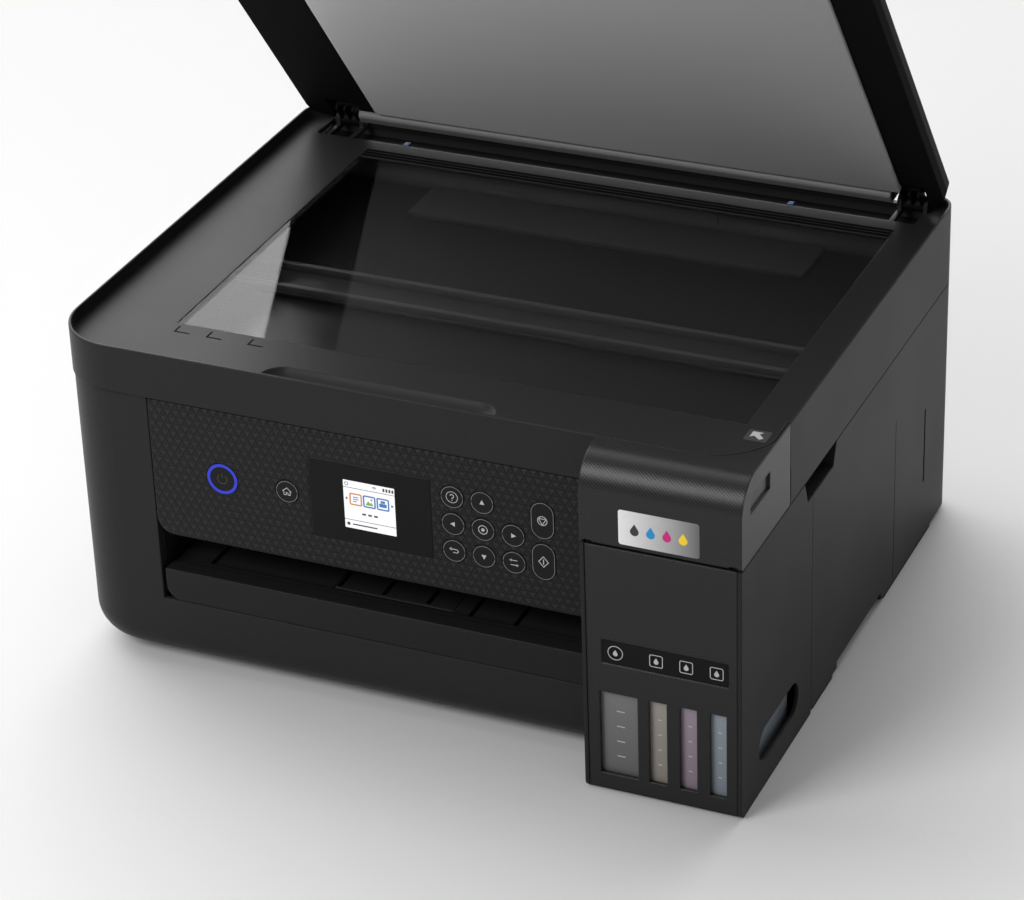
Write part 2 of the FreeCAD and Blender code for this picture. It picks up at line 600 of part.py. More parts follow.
def scanner_frame():
    bottom = CASE_TOP + SEAM_GAP
    deck_under = DECK_TOP - DECK_THICKNESS
    frame = without(
        scanner_block(0, bottom, RIM_TOP),
        scanner_block(RIM_WALL, DECK_TOP, RIM_TOP + 1),
        scanner_block(CASE_WALL, bottom - 1, deck_under),
    )
    skirt = without(
        scanner_block(0, SIDE_TOP + SEAM_GAP, bottom),
        scanner_block(CASE_WALL, SIDE_TOP, bottom + 1),
    )
    skirt = skirt.common(
        box(HALF_WIDTH - SKIRT_REACH + PART_GAP, HALF_WIDTH, COVER_BACK + SKIRT_GAP, BACK, SIDE_TOP, bottom)
    )
    frame = joined(frame, skirt)
    tank_side = box(
        TANK_LEFT - PART_GAP, HALF_WIDTH + 1, SCANNER_FRONT - 1, COVER_BACK, bottom - 1, deck_under
    )
    glass_seat = box(
        GLASS_LEFT, GLASS_RIGHT, GLASS_FRONT, GLASS_BACK, deck_under - 1, DECK_TOP + 1
    )
    hinge_slot = box(
        -HALF_WIDTH + SLOT_MARGIN, HALF_WIDTH - SLOT_MARGIN, SLOT_FRONT, BACK - CASE_WALL - 1,
        deck_under - 1, DECK_TOP + 1,
    )
    back_gap = box(
        -HALF_WIDTH + BACK_CORNER_RADIUS, HALF_WIDTH - BACK_CORNER_RADIUS, BACK - CASE_WALL - 2, BACK + 1,
        DECK_TOP, RIM_TOP + 1,
    )
    frame = without(frame, tank_side, glass_seat, hinge_slot, back_gap, finger_scoop())
    frame = round_front_edge(frame)
    ears = []
    for centre in HINGE_CENTRES:
        ears += hinge_ears(centre)
    pin_hole = rod_x(-HALF_WIDTH, HALF_WIDTH, LID_AXIS_Y, LID_AXIS_Z, HINGE_PIN_RADIUS + PIN_GAP)
    ears = [ear.cut(pin_hole) for ear in ears]
    scoop_dish = without(scoop_bowl(SCOOP_WALL), scoop_bowl(0))
    scoop_dish = scoop_dish.common(box(-HALF_WIDTH, HALF_WIDTH, SCANNER_FRONT + 1, 0, 0, DECK_TOP))
    return joined(frame, scoop_dish, *ears)


def scoop_bowl(grow):
    """The hollow for fingers at the front of the deck: a lying rod with round ends."""
    radius = SCOOP_RADIUS + grow
    z = DECK_TOP + SCOOP_RADIUS - SCOOP_DEPTH
    y = SCANNER_FRONT + RIM_WALL + SCOOP_HALF_DEPTH
    trough = rod_x(SCOOP_LEFT + SCOOP_END, SCOOP_RIGHT - SCOOP_END, y, z, radius)
    ends = [
        Part.makeSphere(radius, FreeCAD.Vector(x, y, z))
        for x in (SCOOP_LEFT + SCOOP_END, SCOOP_RIGHT - SCOOP_END)
    ]
    return joined(trough, *ends)


def finger_scoop():
    space = box(-HALF_WIDTH, HALF_WIDTH, SCANNER_FRONT + CASE_WALL, 0, 0, DECK_TOP + 1)
    return scoop_bowl(0).common(space)


def round_front_edge(frame):
    edges = [
        edge
        for edge in frame.Edges
        if abs(edge.BoundBox.ZMin - RIM_TOP) < 0.01
        and edge.BoundBox.YMax < SCANNER_FRONT + 0.01
        and edge.Length > 50
    ]
    return frame.makeFillet(RIM_WALL / 2, edges)


def scanner_bed():
    """The tub under the glass with rails, steps and the hinge to the lower case."""
    left, right = -HALF_WIDTH + CASE_WALL + PART_GAP, HALF_WIDTH - CASE_WALL - PART_GAP
    front, back = BED_FRONT, BACK - CASE_WALL - PART_GAP
    top = DECK_TOP - GLASS_DROP - GLASS_THICKNESS
    corner = BACK_CORNER_RADIUS - CASE_WALL
    block = rounded_block(left, right, front, back, BED_FLOOR, top, 0, 0, corner, corner)
    inside = box(left + BED_WALL, right - BED_WALL, front + BED_WALL, BED_BACK, BED_FLOOR + BED_WALL, top + 1)
    lug_room = box(
        left + corner, right - corner, BED_BACK + BED_WALL, back + 1, BED_FLOOR + BED_WALL, top + 1
    )
    bed = without(block, inside, lug_room)
    step = box(STEP_LEFT, STEP_RIGHT, STEP_FRONT, BED_BACK + 0.5, BED_FLOOR + BED_WALL - 0.5, STEP_TOP)
    recesses = [
        box(x - 12, x + 12, BED_BACK - 1, BED_BACK + BED_WALL - 0.8, STEP_TOP + 3, top - 4)
        for x in RECESS_CENTRES
    ]
    bed = without(joined(bed, step), *recesses)
    lugs = []
    for x in SCANNER_LUGS:
        bed = without(bed, box(x - 12, x + 12, LUG_BACK, back + 1, BED_FLOOR - 1, BED_FLOOR + BED_WALL + 1))
        lugs.append(box(x - 5, x + 5, LUG_BACK - 5, SCANNER_AXIS_Y, BED_FLOOR + 1, SCANNER_AXIS_Z))
        lugs.append(rod_x(x - 5, x + 5, SCANNER_AXIS_Y, SCANNER_AXIS_Z, 4))
        lugs.append(rod_x(x - 9, x + 9, SCANNER_AXIS_Y, SCANNER_AXIS_Z, SCANNER_PIN))
    return joined(bed, *lugs)


def scanner_glass():
    gap = SLIDE_GAP / 2
    top = DECK_TOP - GLASS_DROP
    plate = box(
        GLASS_LEFT + gap, GLASS_RIGHT - gap, GLASS_FRONT + gap, GLASS_BACK - gap, top - GLASS_THICKNESS, top
    )
    return plate


def sensor_rail():
    """The twin-edged guide rail that the image sensor runs along."""
    z0 = BED_FLOOR + BED_WALL
    base = box(RAIL_BED_LEFT, RAIL_BED_RIGHT, SENSOR_RAIL_Y - 14, SENSOR_RAIL_Y + 14, z0, z0 + 2)
    ridges = [
        box(RAIL_BED_LEFT, RAIL_BED_RIGHT, y - 1.5, y + 1.5, z0 + 1, SENSOR_RAIL_TOP)
        for y in (SENSOR_RAIL_Y - 12, SENSOR_RAIL_Y + 12)
    ]
    return joined(base, *ridges)


def sensor_bar():
    """The moving image sensor, as long as the glass is deep."""
    x0, x1 = SENSOR_X - SENSOR_WIDTH / 2, SENSOR_X + SENSOR_WIDTH / 2
    low = SENSOR_RAIL_TOP + SLIDE_GAP
    top = DECK_TOP - GLASS_DROP - GLASS_THICKNESS - SLIDE_GAP
    bar = box(x0, x1, GLASS_FRONT + 3, GLASS_BACK - 4, low, top)
    groove = box(SENSOR_X - 2, SENSOR_X + 2, GLASS_FRONT + 8, GLASS_BACK - 9, top - 1, top + 1)
    shoe = box(x0, x1, SENSOR_RAIL_Y - 10, SENSOR_RAIL_Y + 10, low - 3, low + 1)
    return joined(without(bar, groove), shoe)


def opened(shape):
    """Turn a lid piece from shut to the photographed opening."""
    turned = shape.copy()
    turned.rotate(FreeCAD.Vector(0, LID_AXIS_Y, LID_AXIS_Z), FreeCAD.Vector(-1, 0, 0), LID_OPEN_ANGLE)
    return turned


def hinge_room(grow):
    """The space round each hinge that the lid leaves free."""
    rooms = []
    for centre in HINGE_CENTRES:
        half = HINGE_WIDTH / 2 + SLIDE_GAP + EAR_THICKNESS + grow
        top = LID_AXIS_Z + HINGE_RADIUS + 1
        room = box(centre - half, centre + half, SLOT_FRONT - 4, LID_BACK + 1, LID_UNDERSIDE - 1, top)
        rooms.append(room)
    return rooms


def lid_shell():
    front = SCANNER_FRONT + RIM_WALL + PART_GAP
    corner = FRONT_CORNER_RADIUS - RIM_WALL - PART_GAP
    half = LID_HALF_WIDTH
    block = rounded_block(-half, half, front, LID_BACK, LID_UNDERSIDE, LID_TOP, corner, corner, 10, 10)
    inside = rounded_block(
        -half + LID_WALL, half - LID_WALL, front + LID_WALL, LID_BACK - LID_WALL,
        LID_UNDERSIDE + LID_WALL + MAT_THICKNESS, LID_TOP - LID_WALL,
        corner - LID_WALL, corner - LID_WALL, 8, 8,
    )
    mat_seat = box(
        MAT_LEFT - SLIDE_GAP, MAT_RIGHT + SLIDE_GAP, MAT_FRONT - SLIDE_GAP, MAT_BACK + SLIDE_GAP,
        LID_UNDERSIDE - 1, MAT_UNDERSIDE + MAT_THICKNESS,
    )
    bar_seat = box(
        BAR_LEFT - 1, BAR_RIGHT + 1, BAR_FRONT - PART_GAP, LID_BACK + 1, LID_UNDERSIDE - 1, BAR_TOP
    )
    block = without(block, mat_seat, bar_seat, *hinge_room(1.0))
    return opened(without(block, inside))


def lid_mat():
    mat = rounded_block(
        MAT_LEFT, MAT_RIGHT, MAT_FRONT, MAT_BACK, MAT_UNDERSIDE, MAT_UNDERSIDE + MAT_THICKNESS, 2, 2, 2, 2
    )
    return opened(mat)


def lid_bar():
    """The rail along the lid's hinge edge."""
    bar = box(BAR_LEFT, BAR_RIGHT, BAR_FRONT, BAR_BACK, BAR_BOTTOM, BAR_TOP)
    bar = round_edges(bar, 2.5, "x", y=BAR_BACK, z=BAR_BOTTOM)
    bar = round_edges(bar, 2.5, "x", y=BAR_FRONT, z=BAR_BOTTOM)
    return opened(bar)


def lid_hinges():
    """Two hinge arms: each has a ribbed barrel on the axis and runs forward under the lid."""
    arms = []
    for centre in HINGE_CENTRES:
        x0, x1 = centre - HINGE_WIDTH / 2, centre + HINGE_WIDTH / 2
        barrel = rod_x(x0, x1, LID_AXIS_Y, LID_AXIS_Z, HINGE_RADIUS - 0.4)
        top = LID_AXIS_Z + HINGE_RADIUS + 1
        arm = box(x0, x1, MAT_BACK + PART_GAP, LID_AXIS_Y, LID_AXIS_Z + 0.5, LID_AXIS_Z + 3.5)
        riser = box(x0, x1, MAT_BACK + PART_GAP, MAT_BACK + 9, LID_AXIS_Z, top)
        ribs = [
            box(x - 0.6, x + 0.6, MAT_BACK + 2, LID_AXIS_Y, LID_AXIS_Z - 3, LID_AXIS_Z + 2)
            for x in (x0 + 0.6, centre, x1 - 0.6)
        ]
        reach = HINGE_WIDTH / 2 + SLIDE_GAP + EAR_THICKNESS
        pin = rod_x(centre - reach, centre + reach, LID_AXIS_Y, LID_AXIS_Z, HINGE_PIN_RADIUS)
        arms.append(opened(joined(barrel, arm, riser, pin, *ribs)))
    return Part.makeCompound(arms)


def button_places():
    """Name, middle and half sizes of every key on the control panel."""
    low, middle, high = BUTTON_ROWS[2], BUTTON_ROWS[1], BUTTON_ROWS[0]
    left, centre, right = BUTTON_COLUMNS
    round_keys = {
        "help": (left, high), "up": (centre, high), "left": (left, middle), "enter": (centre, middle),
        "right": (right, middle), "back": (left, low), "down": (centre, low), "swap": (right, low),
    }
    places = {name: (x, z, BUTTON_RADIUS, BUTTON_RADIUS) for name, (x, z) in round_keys.items()}
    places["power"] = (POWER_X, middle, POWER_RADIUS, POWER_RADIUS)
    places["home"] = (HOME_X, middle, BUTTON_RADIUS, BUTTON_RADIUS)
    half = LONG_BUTTON_HEIGHT / 2
    places["stop"] = (LONG_BUTTON_X, middle + half + 1.2, BUTTON_RADIUS, half)
    places["start"] = (LONG_BUTTON_X, middle - half - 1.2, BUTTON_RADIUS, half)
    return places


def button_shape(place, grow, y0, y1):
    x, z, half_wide, half_tall = place
    if half_wide == half_tall:
        return rod_y(y0, y1, x, z, half_wide + grow)
    half_wide, half_tall = half_wide + grow, half_tall + grow
    return slot_face(x - half_wide, x + half_wide, y0, y1, z - half_tall, z + half_tall)


def panel_front():
    back = FRONT + PANEL_THICKNESS
    plate = box(PANEL_LEFT, PANEL_RIGHT, FRONT, back, PANEL_BOTTOM, PANEL_TOP)
    plate = round_edges(plate, PANEL_CORNER, "y", x=PANEL_LEFT, z=PANEL_BOTTOM)
    plate = round_edges(plate, PANEL_AXIS_Y - FRONT, "x", y=FRONT, z=PANEL_TOP)
    x0, x1, z0, z1 = SCREEN
    screen_seat = box(x0 - 0.1, x1 + 0.1, FRONT - 1, FRONT + SCREEN_THICKNESS, z0 - 0.1, z1 + 0.1)
    holes = [button_shape(place, BUTTON_GAP, FRONT - 1, back + 1) for place in button_places().values()]
    pins = []
    for x0, x1 in ((CHEEK - CASE_WALL, PANEL_LEFT + 6), (PANEL_RIGHT - 6, TANK_LEFT + CASE_WALL)):
        pins.append(rod_x(x0, x1, PANEL_AXIS_Y, PANEL_AXIS_Z, PANEL_PIN_RADIUS))
    return without(joined(plate, *pins), screen_seat, *holes)


def panel_housing():
    """The box behind the panel face that holds the key switches."""
    front = FRONT + PANEL_THICKNESS
    top = PANEL_AXIS_Z - PANEL_PIN_RADIUS - PART_GAP
    body = box(PANEL_LEFT + 3, PANEL_RIGHT - 2, front, front + HOUSING_DEPTH, PANEL_BOTTOM + 4, top)
    return round_edges(body, 6, "x", y=front + HOUSING_DEPTH, z=PANEL_BOTTOM + 4)


def display_window():
    x0, x1, z0, z1 = SCREEN
    return box(x0, x1, FRONT, FRONT + SCREEN_THICKNESS, z0, z1)


def button(name):
    return button_shape(button_places()[name], 0, FRONT - BUTTON_PROUD, FRONT - BUTTON_PROUD + BUTTON_DEPTH)


def output_tray():
    """The inner stage of the paper tray, a plate on the case's ledges."""
    z0 = TRAY_LEDGE + SLIDE_GAP
    left, right = CHEEK + PART_GAP, TRAY_RIGHT
    plate = box(left, right, STAGE_FRONT, STAGE_BACK, z0, z0 + STAGE_THICKNESS)
    stop = box(left + 40, right - 40, STAGE_BACK - 4, STAGE_BACK, z0, TRAY_TOP - 6)
    return joined(plate, stop)


def tray_top_z():
    return TRAY_LEDGE + STAGE_THICKNESS + 2 * SLIDE_GAP


def tray_extension():
    """The outer stage: the front face of the tray with the ribbed plate behind it."""
    face = box(TRAY_LEFT, TRAY_RIGHT, FRONT, FRONT + TRAY_FACE, TRAY_BOTTOM, TRAY_TOP)
    face = round_edges(face, 8, "y", x=TRAY_LEFT, z=TRAY_BOTTOM)
    left, right = TRAY_LEFT + 1, TRAY_RIGHT
    plate = box(left, right, FRONT + 1, PLATE_BACK, tray_top_z(), TRAY_TOP - 0.5)
    recess = box(left + 18, right - 18, FRONT + TRAY_FACE + 4, PLATE_BACK + 1, TRAY_TOP - 2.5, TRAY_TOP + 1)
    tray = without(joined(face, plate), recess, stopper_pocket())
    pitch = (right - left - 60) / (TRAY_RIB_COUNT - 1)
    for n in range(TRAY_RIB_COUNT):
        x = left + 30 + n * pitch
        rib = box(x - 1, x + 1, FRONT + TRAY_FACE + 30, PLATE_BACK, TRAY_TOP - 3, TRAY_TOP - 1)
        tray = joined(tray, rib)
    pin_hole = rod_x(STOPPER[0] - 4, STOPPER[1] + 4, STOPPER_AXIS_Y, STOPPER_AXIS_Z, STOPPER_PIN + PIN_GAP)
    return without(tray, pin_hole)


def stopper_pocket():
    """The hollow in the tray that the paper stop lies in."""
    x0, x1 = STOPPER[0] - SLIDE_GAP, STOPPER[1] + SLIDE_GAP
    reach = STOPPER_HALF + SLIDE_GAP
    back = STOPPER_AXIS_Y + STOPPER_LENGTH + SLIDE_GAP
    return box(x0, x1, STOPPER_AXIS_Y - reach, back, STOPPER_AXIS_Z - reach, TRAY_TOP + 1)


def tray_stopper():
    """The flap that lies in the tray and stands up to stop the paper."""
    low, high = STOPPER_AXIS_Z - STOPPER_HALF, STOPPER_AXIS_Z + STOPPER_HALF
    plate = box(*STOPPER, STOPPER_AXIS_Y, STOPPER_AXIS_Y + STOPPER_LENGTH, low, high)
    nose = rod_x(*STOPPER, STOPPER_AXIS_Y, STOPPER_AXIS_Z, STOPPER_HALF)
    flap = joined(plate, nose)
    pin = rod_x(STOPPER[0] - 3, STOPPER[1] + 3, STOPPER_AXIS_Y, STOPPER_AXIS_Z, STOPPER_PIN)
    return joined(flap, pin)


def mechanism_base():
    """The inner chassis: a plate with the posts that carry rail, rollers and scanner hinge."""
    z0 = FOOT_HEIGHT + CASE_WALL
    plate = box(RAIL_LEFT + 12, RAIL_RIGHT - 4, TANK_BACK + 4, BACK - 4, z0, z0 + BASE_PLATE)
    arch_left = HALF_WIDTH - ARCH_DEPTH - ARCH_ROOM
    plate = without(plate, box(arch_left, HALF_WIDTH, ARCH_FRONT - 6, ARCH_BACK + 6, 0, ARCH_TOP + 6))
    posts = []
    for x0, x1 in ((RAIL_LEFT + 13, RAIL_LEFT + 25), (RAIL_RIGHT - 16, RAIL_RIGHT - 4)):
        posts.append(box(x0, x1, RAIL_BACK, RAIL_BACK + 10, z0, RAIL_TOP - 4))
    for x0 in (ROLLER_LEFT - 3, ROLLER_RIGHT):
        posts.append(box(x0, x0 + 3, EJECT_ROLLER_Y - 9, FEED_ROLLER_Y + 12, z0, ROLLER_Z + 6.5))
    for x in SCANNER_LUGS:
        for x0 in (x - 5 - SLIDE_GAP - 4, x + 5 + SLIDE_GAP):
            posts.append(box(x0, x0 + 4, SCANNER_AXIS_Y - 4, SCANNER_AXIS_Y + 4, z0, SCANNER_AXIS_Z + 4))
    base = joined(plate, *posts)
    holes = [
        rod_x(ROLLER_LEFT - 4, ROLLER_RIGHT + 4, y, ROLLER_Z, SHAFT_RADIUS + PIN_GAP)
        for y in (EJECT_ROLLER_Y, FEED_ROLLER_Y)
    ]
    holes.append(rod_x(-HALF_WIDTH, HALF_WIDTH, SCANNER_AXIS_Y, SCANNER_AXIS_Z, SCANNER_PIN + PIN_GAP))
    return without(base, *holes)


def platen():
    """The ribbed table under the print head, held by the roller side plates."""
    front, back = EJECT_ROLLER_Y + 12, FEED_ROLLER_Y - 12
    plate = box(ROLLER_LEFT, ROLLER_RIGHT, front, back, ROLLER_Z - 4, ROLLER_Z + 4)
    ribs = [
        box(x - 1, x + 1, front, back, ROLLER_Z + 3, ROLLER_Z + 6)
        for x in range(int(PAPER_LEFT), int(ROLLER_RIGHT) - 6, 24)
    ]
    return joined(plate, *ribs)


def pulley_notch(y):
    """A notch in the rim of a roller's pulley, so that its turning shows."""
    bottom = ROLLER_Z + DRIVE_RADIUS - NOTCH_IN_RIM
    return box(ROLLER_LEFT, ROLLER_LEFT + 9, y - 1, y + 1, bottom, ROLLER_Z + 2 * DRIVE_RADIUS)


def feed_roller():
    shaft = rod_x(ROLLER_LEFT - 3, ROLLER_RIGHT + 3, FEED_ROLLER_Y, ROLLER_Z, SHAFT_RADIUS)
    sleeve = rod_x(ROLLER_LEFT + 12, ROLLER_RIGHT - 4, FEED_ROLLER_Y, ROLLER_Z, FEED_ROLLER_RADIUS)
    pulley = rod_x(ROLLER_LEFT + 1, ROLLER_LEFT + 8, FEED_ROLLER_Y, ROLLER_Z, DRIVE_RADIUS)
    return without(joined(shaft, sleeve, pulley), pulley_notch(FEED_ROLLER_Y))


def eject_roller():
    shaft = rod_x(ROLLER_LEFT - 3, ROLLER_RIGHT + 3, EJECT_ROLLER_Y, ROLLER_Z, SHAFT_RADIUS)
    pulley = rod_x(ROLLER_LEFT + 1, ROLLER_LEFT + 8, EJECT_ROLLER_Y, ROLLER_Z, DRIVE_RADIUS)
    rings = [
        rod_x(x - 5, x + 5, EJECT_ROLLER_Y, ROLLER_Z, EJECT_ROLLER_RADIUS)
        for x in range(int(PAPER_LEFT) + 6, int(ROLLER_RIGHT) - 10, 38)
    ]
    return without(joined(shaft, pulley, *rings), pulley_notch(EJECT_ROLLER_Y))


def loop_belt_x(x0, x1, ya, yb, z, radius, thickness):
    """A flat belt round two equal pulleys on shafts along X."""
    def racetrack(r):
        ends = [rod_x(x0, x1, y, z, r) for y in (ya, yb)]
        return joined(box(x0, x1, ya, yb, z - r, z + r), *ends)
    return without(racetrack(radius + thickness), racetrack(radius))


def roller_belt():
    return loop_belt_x(
        ROLLER_LEFT + 2, ROLLER_LEFT + 7, EJECT_ROLLER_Y, FEED_ROLLER_Y, ROLLER_Z,
        DRIVE_RADIUS + SLIDE_GAP, BELT_THICKNESS,
    )


def carriage_rail():
    """The folded steel rail with the idler pin."""
    web = box(RAIL_LEFT, RAIL_RIGHT, RAIL_BACK - RAIL_SHEET, RAIL_BACK, RAIL_BOTTOM, RAIL_TOP)
    top = box(RAIL_LEFT, RAIL_RIGHT, RAIL_FRONT, RAIL_BACK, RAIL_TOP - RAIL_SHEET, RAIL_TOP)
    low = box(RAIL_LEFT, RAIL_RIGHT, RAIL_FRONT + 4, RAIL_BACK, RAIL_BOTTOM, RAIL_BOTTOM + RAIL_SHEET)
    pin = rod_y(BELT_Y[0], RAIL_BACK - 1, IDLER_PULLEY_X, PULLEY_Z, IDLER_PIN)
    shaft_hole = rod_y(RAIL_BACK - 3, RAIL_BACK + 1, DRIVE_PULLEY_X, PULLEY_Z, MOTOR_SHAFT + PIN_GAP)
    return without(joined(web, top, low, pin), shaft_hole)


def carriage_motor():
    can = rod_y(RAIL_BACK, RAIL_BACK + MOTOR_LENGTH, DRIVE_PULLEY_X, PULLEY_Z, MOTOR_RADIUS)
    bore = rod_y(RAIL_BACK - 1, RAIL_BACK + 6, DRIVE_PULLEY_X, PULLEY_Z, MOTOR_SHAFT + PIN_GAP)
    return without(can, bore)


def wheel_notch(x, face, start):
    """A radial notch in a belt pulley's front face, so that its turning shows."""
    return box(x - 1, x + 1, face - 1, face + 1, PULLEY_Z + start, PULLEY_Z + 2 * PULLEY_RADIUS)


def drive_pulley():
    wheel = rod_y(BELT_Y[0] - 1, BELT_Y[1] + 1, DRIVE_PULLEY_X, PULLEY_Z, PULLEY_RADIUS)
    shaft = rod_y(BELT_Y[1], RAIL_BACK + 5, DRIVE_PULLEY_X, PULLEY_Z, MOTOR_SHAFT)
    return without(joined(wheel, shaft), wheel_notch(DRIVE_PULLEY_X, BELT_Y[0] - 1, 0))


def idler_pulley():
    wheel = rod_y(BELT_Y[0], BELT_Y[1] + 1, IDLER_PULLEY_X, PULLEY_Z, PULLEY_RADIUS)
    bore = rod_y(BELT_Y[0] - 1, BELT_Y[1] + 2, IDLER_PULLEY_X, PULLEY_Z, IDLER_PIN + PIN_GAP)
    return without(wheel, bore, wheel_notch(IDLER_PULLEY_X, BELT_Y[0], IDLER_PIN + 1))


def carriage_belt():
    def racetrack(radius):
        ends = [rod_y(*BELT_Y, x, PULLEY_Z, radius) for x in (IDLER_PULLEY_X, DRIVE_PULLEY_X)]
        middle = box(IDLER_PULLEY_X, DRIVE_PULLEY_X, *BELT_Y, PULLEY_Z - radius, PULLEY_Z + radius)
        return joined(middle, *ends)
    inner = PULLEY_RADIUS + SLIDE_GAP
    return without(racetrack(inner + BELT_THICKNESS), racetrack(inner))


def print_carriage():
    """The moving holder of the print head, with a slider that runs in the rail."""
    x0, x1 = CARRIAGE_LEFT, CARRIAGE_LEFT + CARRIAGE_WIDTH
    front, back = CARRIAGE_FRONT, RAIL_FRONT - PART_GAP
    body = box(x0, x1, front, back, CARRIAGE_BOTTOM, RAIL_TOP - 6)
    body = round_edges(body, 6, "x", y=front, z=RAIL_TOP - 6)
    slider = box(
        x0 + 6, x1 - 6, back - 1, RAIL_BACK - RAIL_SHEET - SLIDE_GAP,
        PULLEY_Z + 12, RAIL_TOP - RAIL_SHEET - SLIDE_GAP,
    )
    clamp_x = (x0 + x1) / 2
    belt_top = PULLEY_Z + PULLEY_RADIUS + BELT_THICKNESS + SLIDE_GAP
    clamp = box(clamp_x - 5, clamp_x + 5, *BELT_Y, belt_top + SLIDE_GAP, PULLEY_Z + 13)
    hollow = box(x0 + 3, x1 - 3, front + 3, back - 3, CARRIAGE_BOTTOM + 18, RAIL_TOP - 10)
    window = box(x0 + 10, x1 - 10, front + 8, back - 10, RAIL_TOP - 14, RAIL_TOP)
    return without(joined(body, slider, clamp), hollow, window)


def print_head():
    x0, x1 = CARRIAGE_LEFT + HEAD_INSET, CARRIAGE_LEFT + CARRIAGE_WIDTH - HEAD_INSET
    front, bottom = CARRIAGE_FRONT + 8, ROLLER_Z + HEAD_HEIGHT
    body = box(x0, x1, front, RAIL_FRONT - HEAD_INSET, bottom, CARRIAGE_BOTTOM)
    return round_edges(body, 2, "x", y=front, z=bottom)


def main_board():
    top = PORT_Z - PORT_HALF_HEIGHT + SOCKET_GAP
    board = box(PORT_X - 20, PORT_X + 55, BACK - 60, BACK - CASE_WALL - 1, top - BOARD_THICKNESS, top)
    port = back_window(PORT_X, PORT_HALF_WIDTH, PORT_Z, PORT_HALF_HEIGHT, SOCKET_GAP)
    port = port.common(box(-HALF_WIDTH, HALF_WIDTH, FRONT, BACK - SLIDE_GAP, 0, CASE_TOP))
    mouth = box(PORT_X - 4.5, PORT_X + 4.5, BACK - 12, BACK + 1, PORT_Z - 4, PORT_Z + 4)
    chips = [
        box(PORT_X + shift, PORT_X + shift + 12, BACK - 50, BACK - 38, top - 0.1, top + 2)
        for shift in (-10, 14, 36)
    ]
    posts = [
        box(x - 3, x + 3, BACK - 40, BACK - 32, FOOT_HEIGHT + CASE_WALL + BASE_PLATE, top - 1)
        for x in (PORT_X - 14, PORT_X + 48)
    ]
    return without(joined(board, port, *chips, *posts), mouth)


def power_supply():
    """The supply box with its two-pole inlet at the back."""
    floor = FOOT_HEIGHT + CASE_WALL + BASE_PLATE
    half = SUPPLY_WIDTH / 2
    body = box(INLET_X - half, INLET_X + half, SUPPLY_FRONT, BACK - CASE_WALL - 1, floor, SUPPLY_TOP)
    socket = back_window(INLET_X, INLET_HALF_WIDTH, INLET_Z, INLET_HALF_HEIGHT, SOCKET_GAP)
    socket = socket.common(box(-HALF_WIDTH, HALF_WIDTH, FRONT, BACK - SLIDE_GAP, 0, CASE_TOP))
    mouth = slot_face(INLET_X - 9, INLET_X + 9, BACK - 9, BACK + 1, INLET_Z - 5, INLET_Z + 5)
    blades = [rod_y(BACK - 10, BACK - 2.5, INLET_X + side * 4.3, INLET_Z, 1.2) for side in (-1, 1)]
    return joined(without(joined(body, socket), mouth), *blades)


def rear_feed():
    """The paper chute on the back with slots for paper and support."""
    block = rounded_block(FEED_LEFT, FEED_RIGHT, BACK, FEED_BACK, FEED_BOTTOM, FEED_TOP, 0, 0, 6, 6)
    paper = box(PAPER_LEFT, PAPER_RIGHT, *PAPER_SLOT, PAPER_GATE[0], FEED_TOP + 1)
    gate = box(PAPER_LEFT, PAPER_RIGHT, BACK - 1, PAPER_SLOT[1], *PAPER_GATE)
    support = box(*SUPPORT_X, *SUPPORT_SLOT, FEED_BOTTOM + 6, FEED_TOP + 1)
    middle = sum(SUPPORT_X) / 2
    thumb = box(middle - 18, middle + 18, SUPPORT_SLOT[0], FEED_BACK + 1, FEED_TOP - 12, FEED_TOP + 1)
    ears = [
        box(x0, x0 + 3, FLAP_AXIS_Y - 2, FLAP_AXIS_Y + 1.5, FEED_TOP - 1, FLAP_AXIS_Z + 1.7)
        for x0 in (FEED_LEFT + 4, FEED_RIGHT - 7)
    ]
    pin_hole = rod_x(FEED_LEFT, FEED_RIGHT, FLAP_AXIS_Y, FLAP_AXIS_Z, FLAP_PIN + PIN_GAP)
    ears = [ear.cut(pin_hole) for ear in ears]
    return joined(without(block, paper, gate, support, thumb), *ears)


def paper_support():
    gap = SLIDE_GAP
    x0, x1 = SUPPORT_X
    front, back, top = SUPPORT_SLOT[0] + gap, SUPPORT_SLOT[1] - gap, FEED_TOP - 1
    plate = box(x0 + gap, x1 - gap, front, back, FEED_BOTTOM + 7, top)
    plate = round_edges(plate, SUPPORT_CORNER, "y", x=x0 + gap, z=top)
    return round_edges(plate, SUPPORT_CORNER, "y", x=x1 - gap, z=top)


def feed_flap():
    """The guard over the paper slot, hinged at its back edge."""
    x0, x1 = FEED_LEFT + 7 + SLIDE_GAP, FEED_RIGHT - 7 - SLIDE_GAP
    plate = box(x0, x1, BACK + 2.5, FLAP_AXIS_Y, FLAP_AXIS_Z - 1, FLAP_AXIS_Z + 1)
    barrel = rod_x(x0, x1, FLAP_AXIS_Y, FLAP_AXIS_Z, 1.2)
    pins = rod_x(FEED_LEFT + 4, FEED_RIGHT - 4, FLAP_AXIS_Y, FLAP_AXIS_Z, FLAP_PIN)
    return joined(plate, barrel, pins)


def edge_guide(x0):
    front, back = PAPER_SLOT[0] + SLIDE_GAP, PAPER_SLOT[1] - SLIDE_GAP
    return box(x0, x0 + GUIDE_THICKNESS, front, back, PAPER_GATE[1] + 10, FEED_TOP - 1)


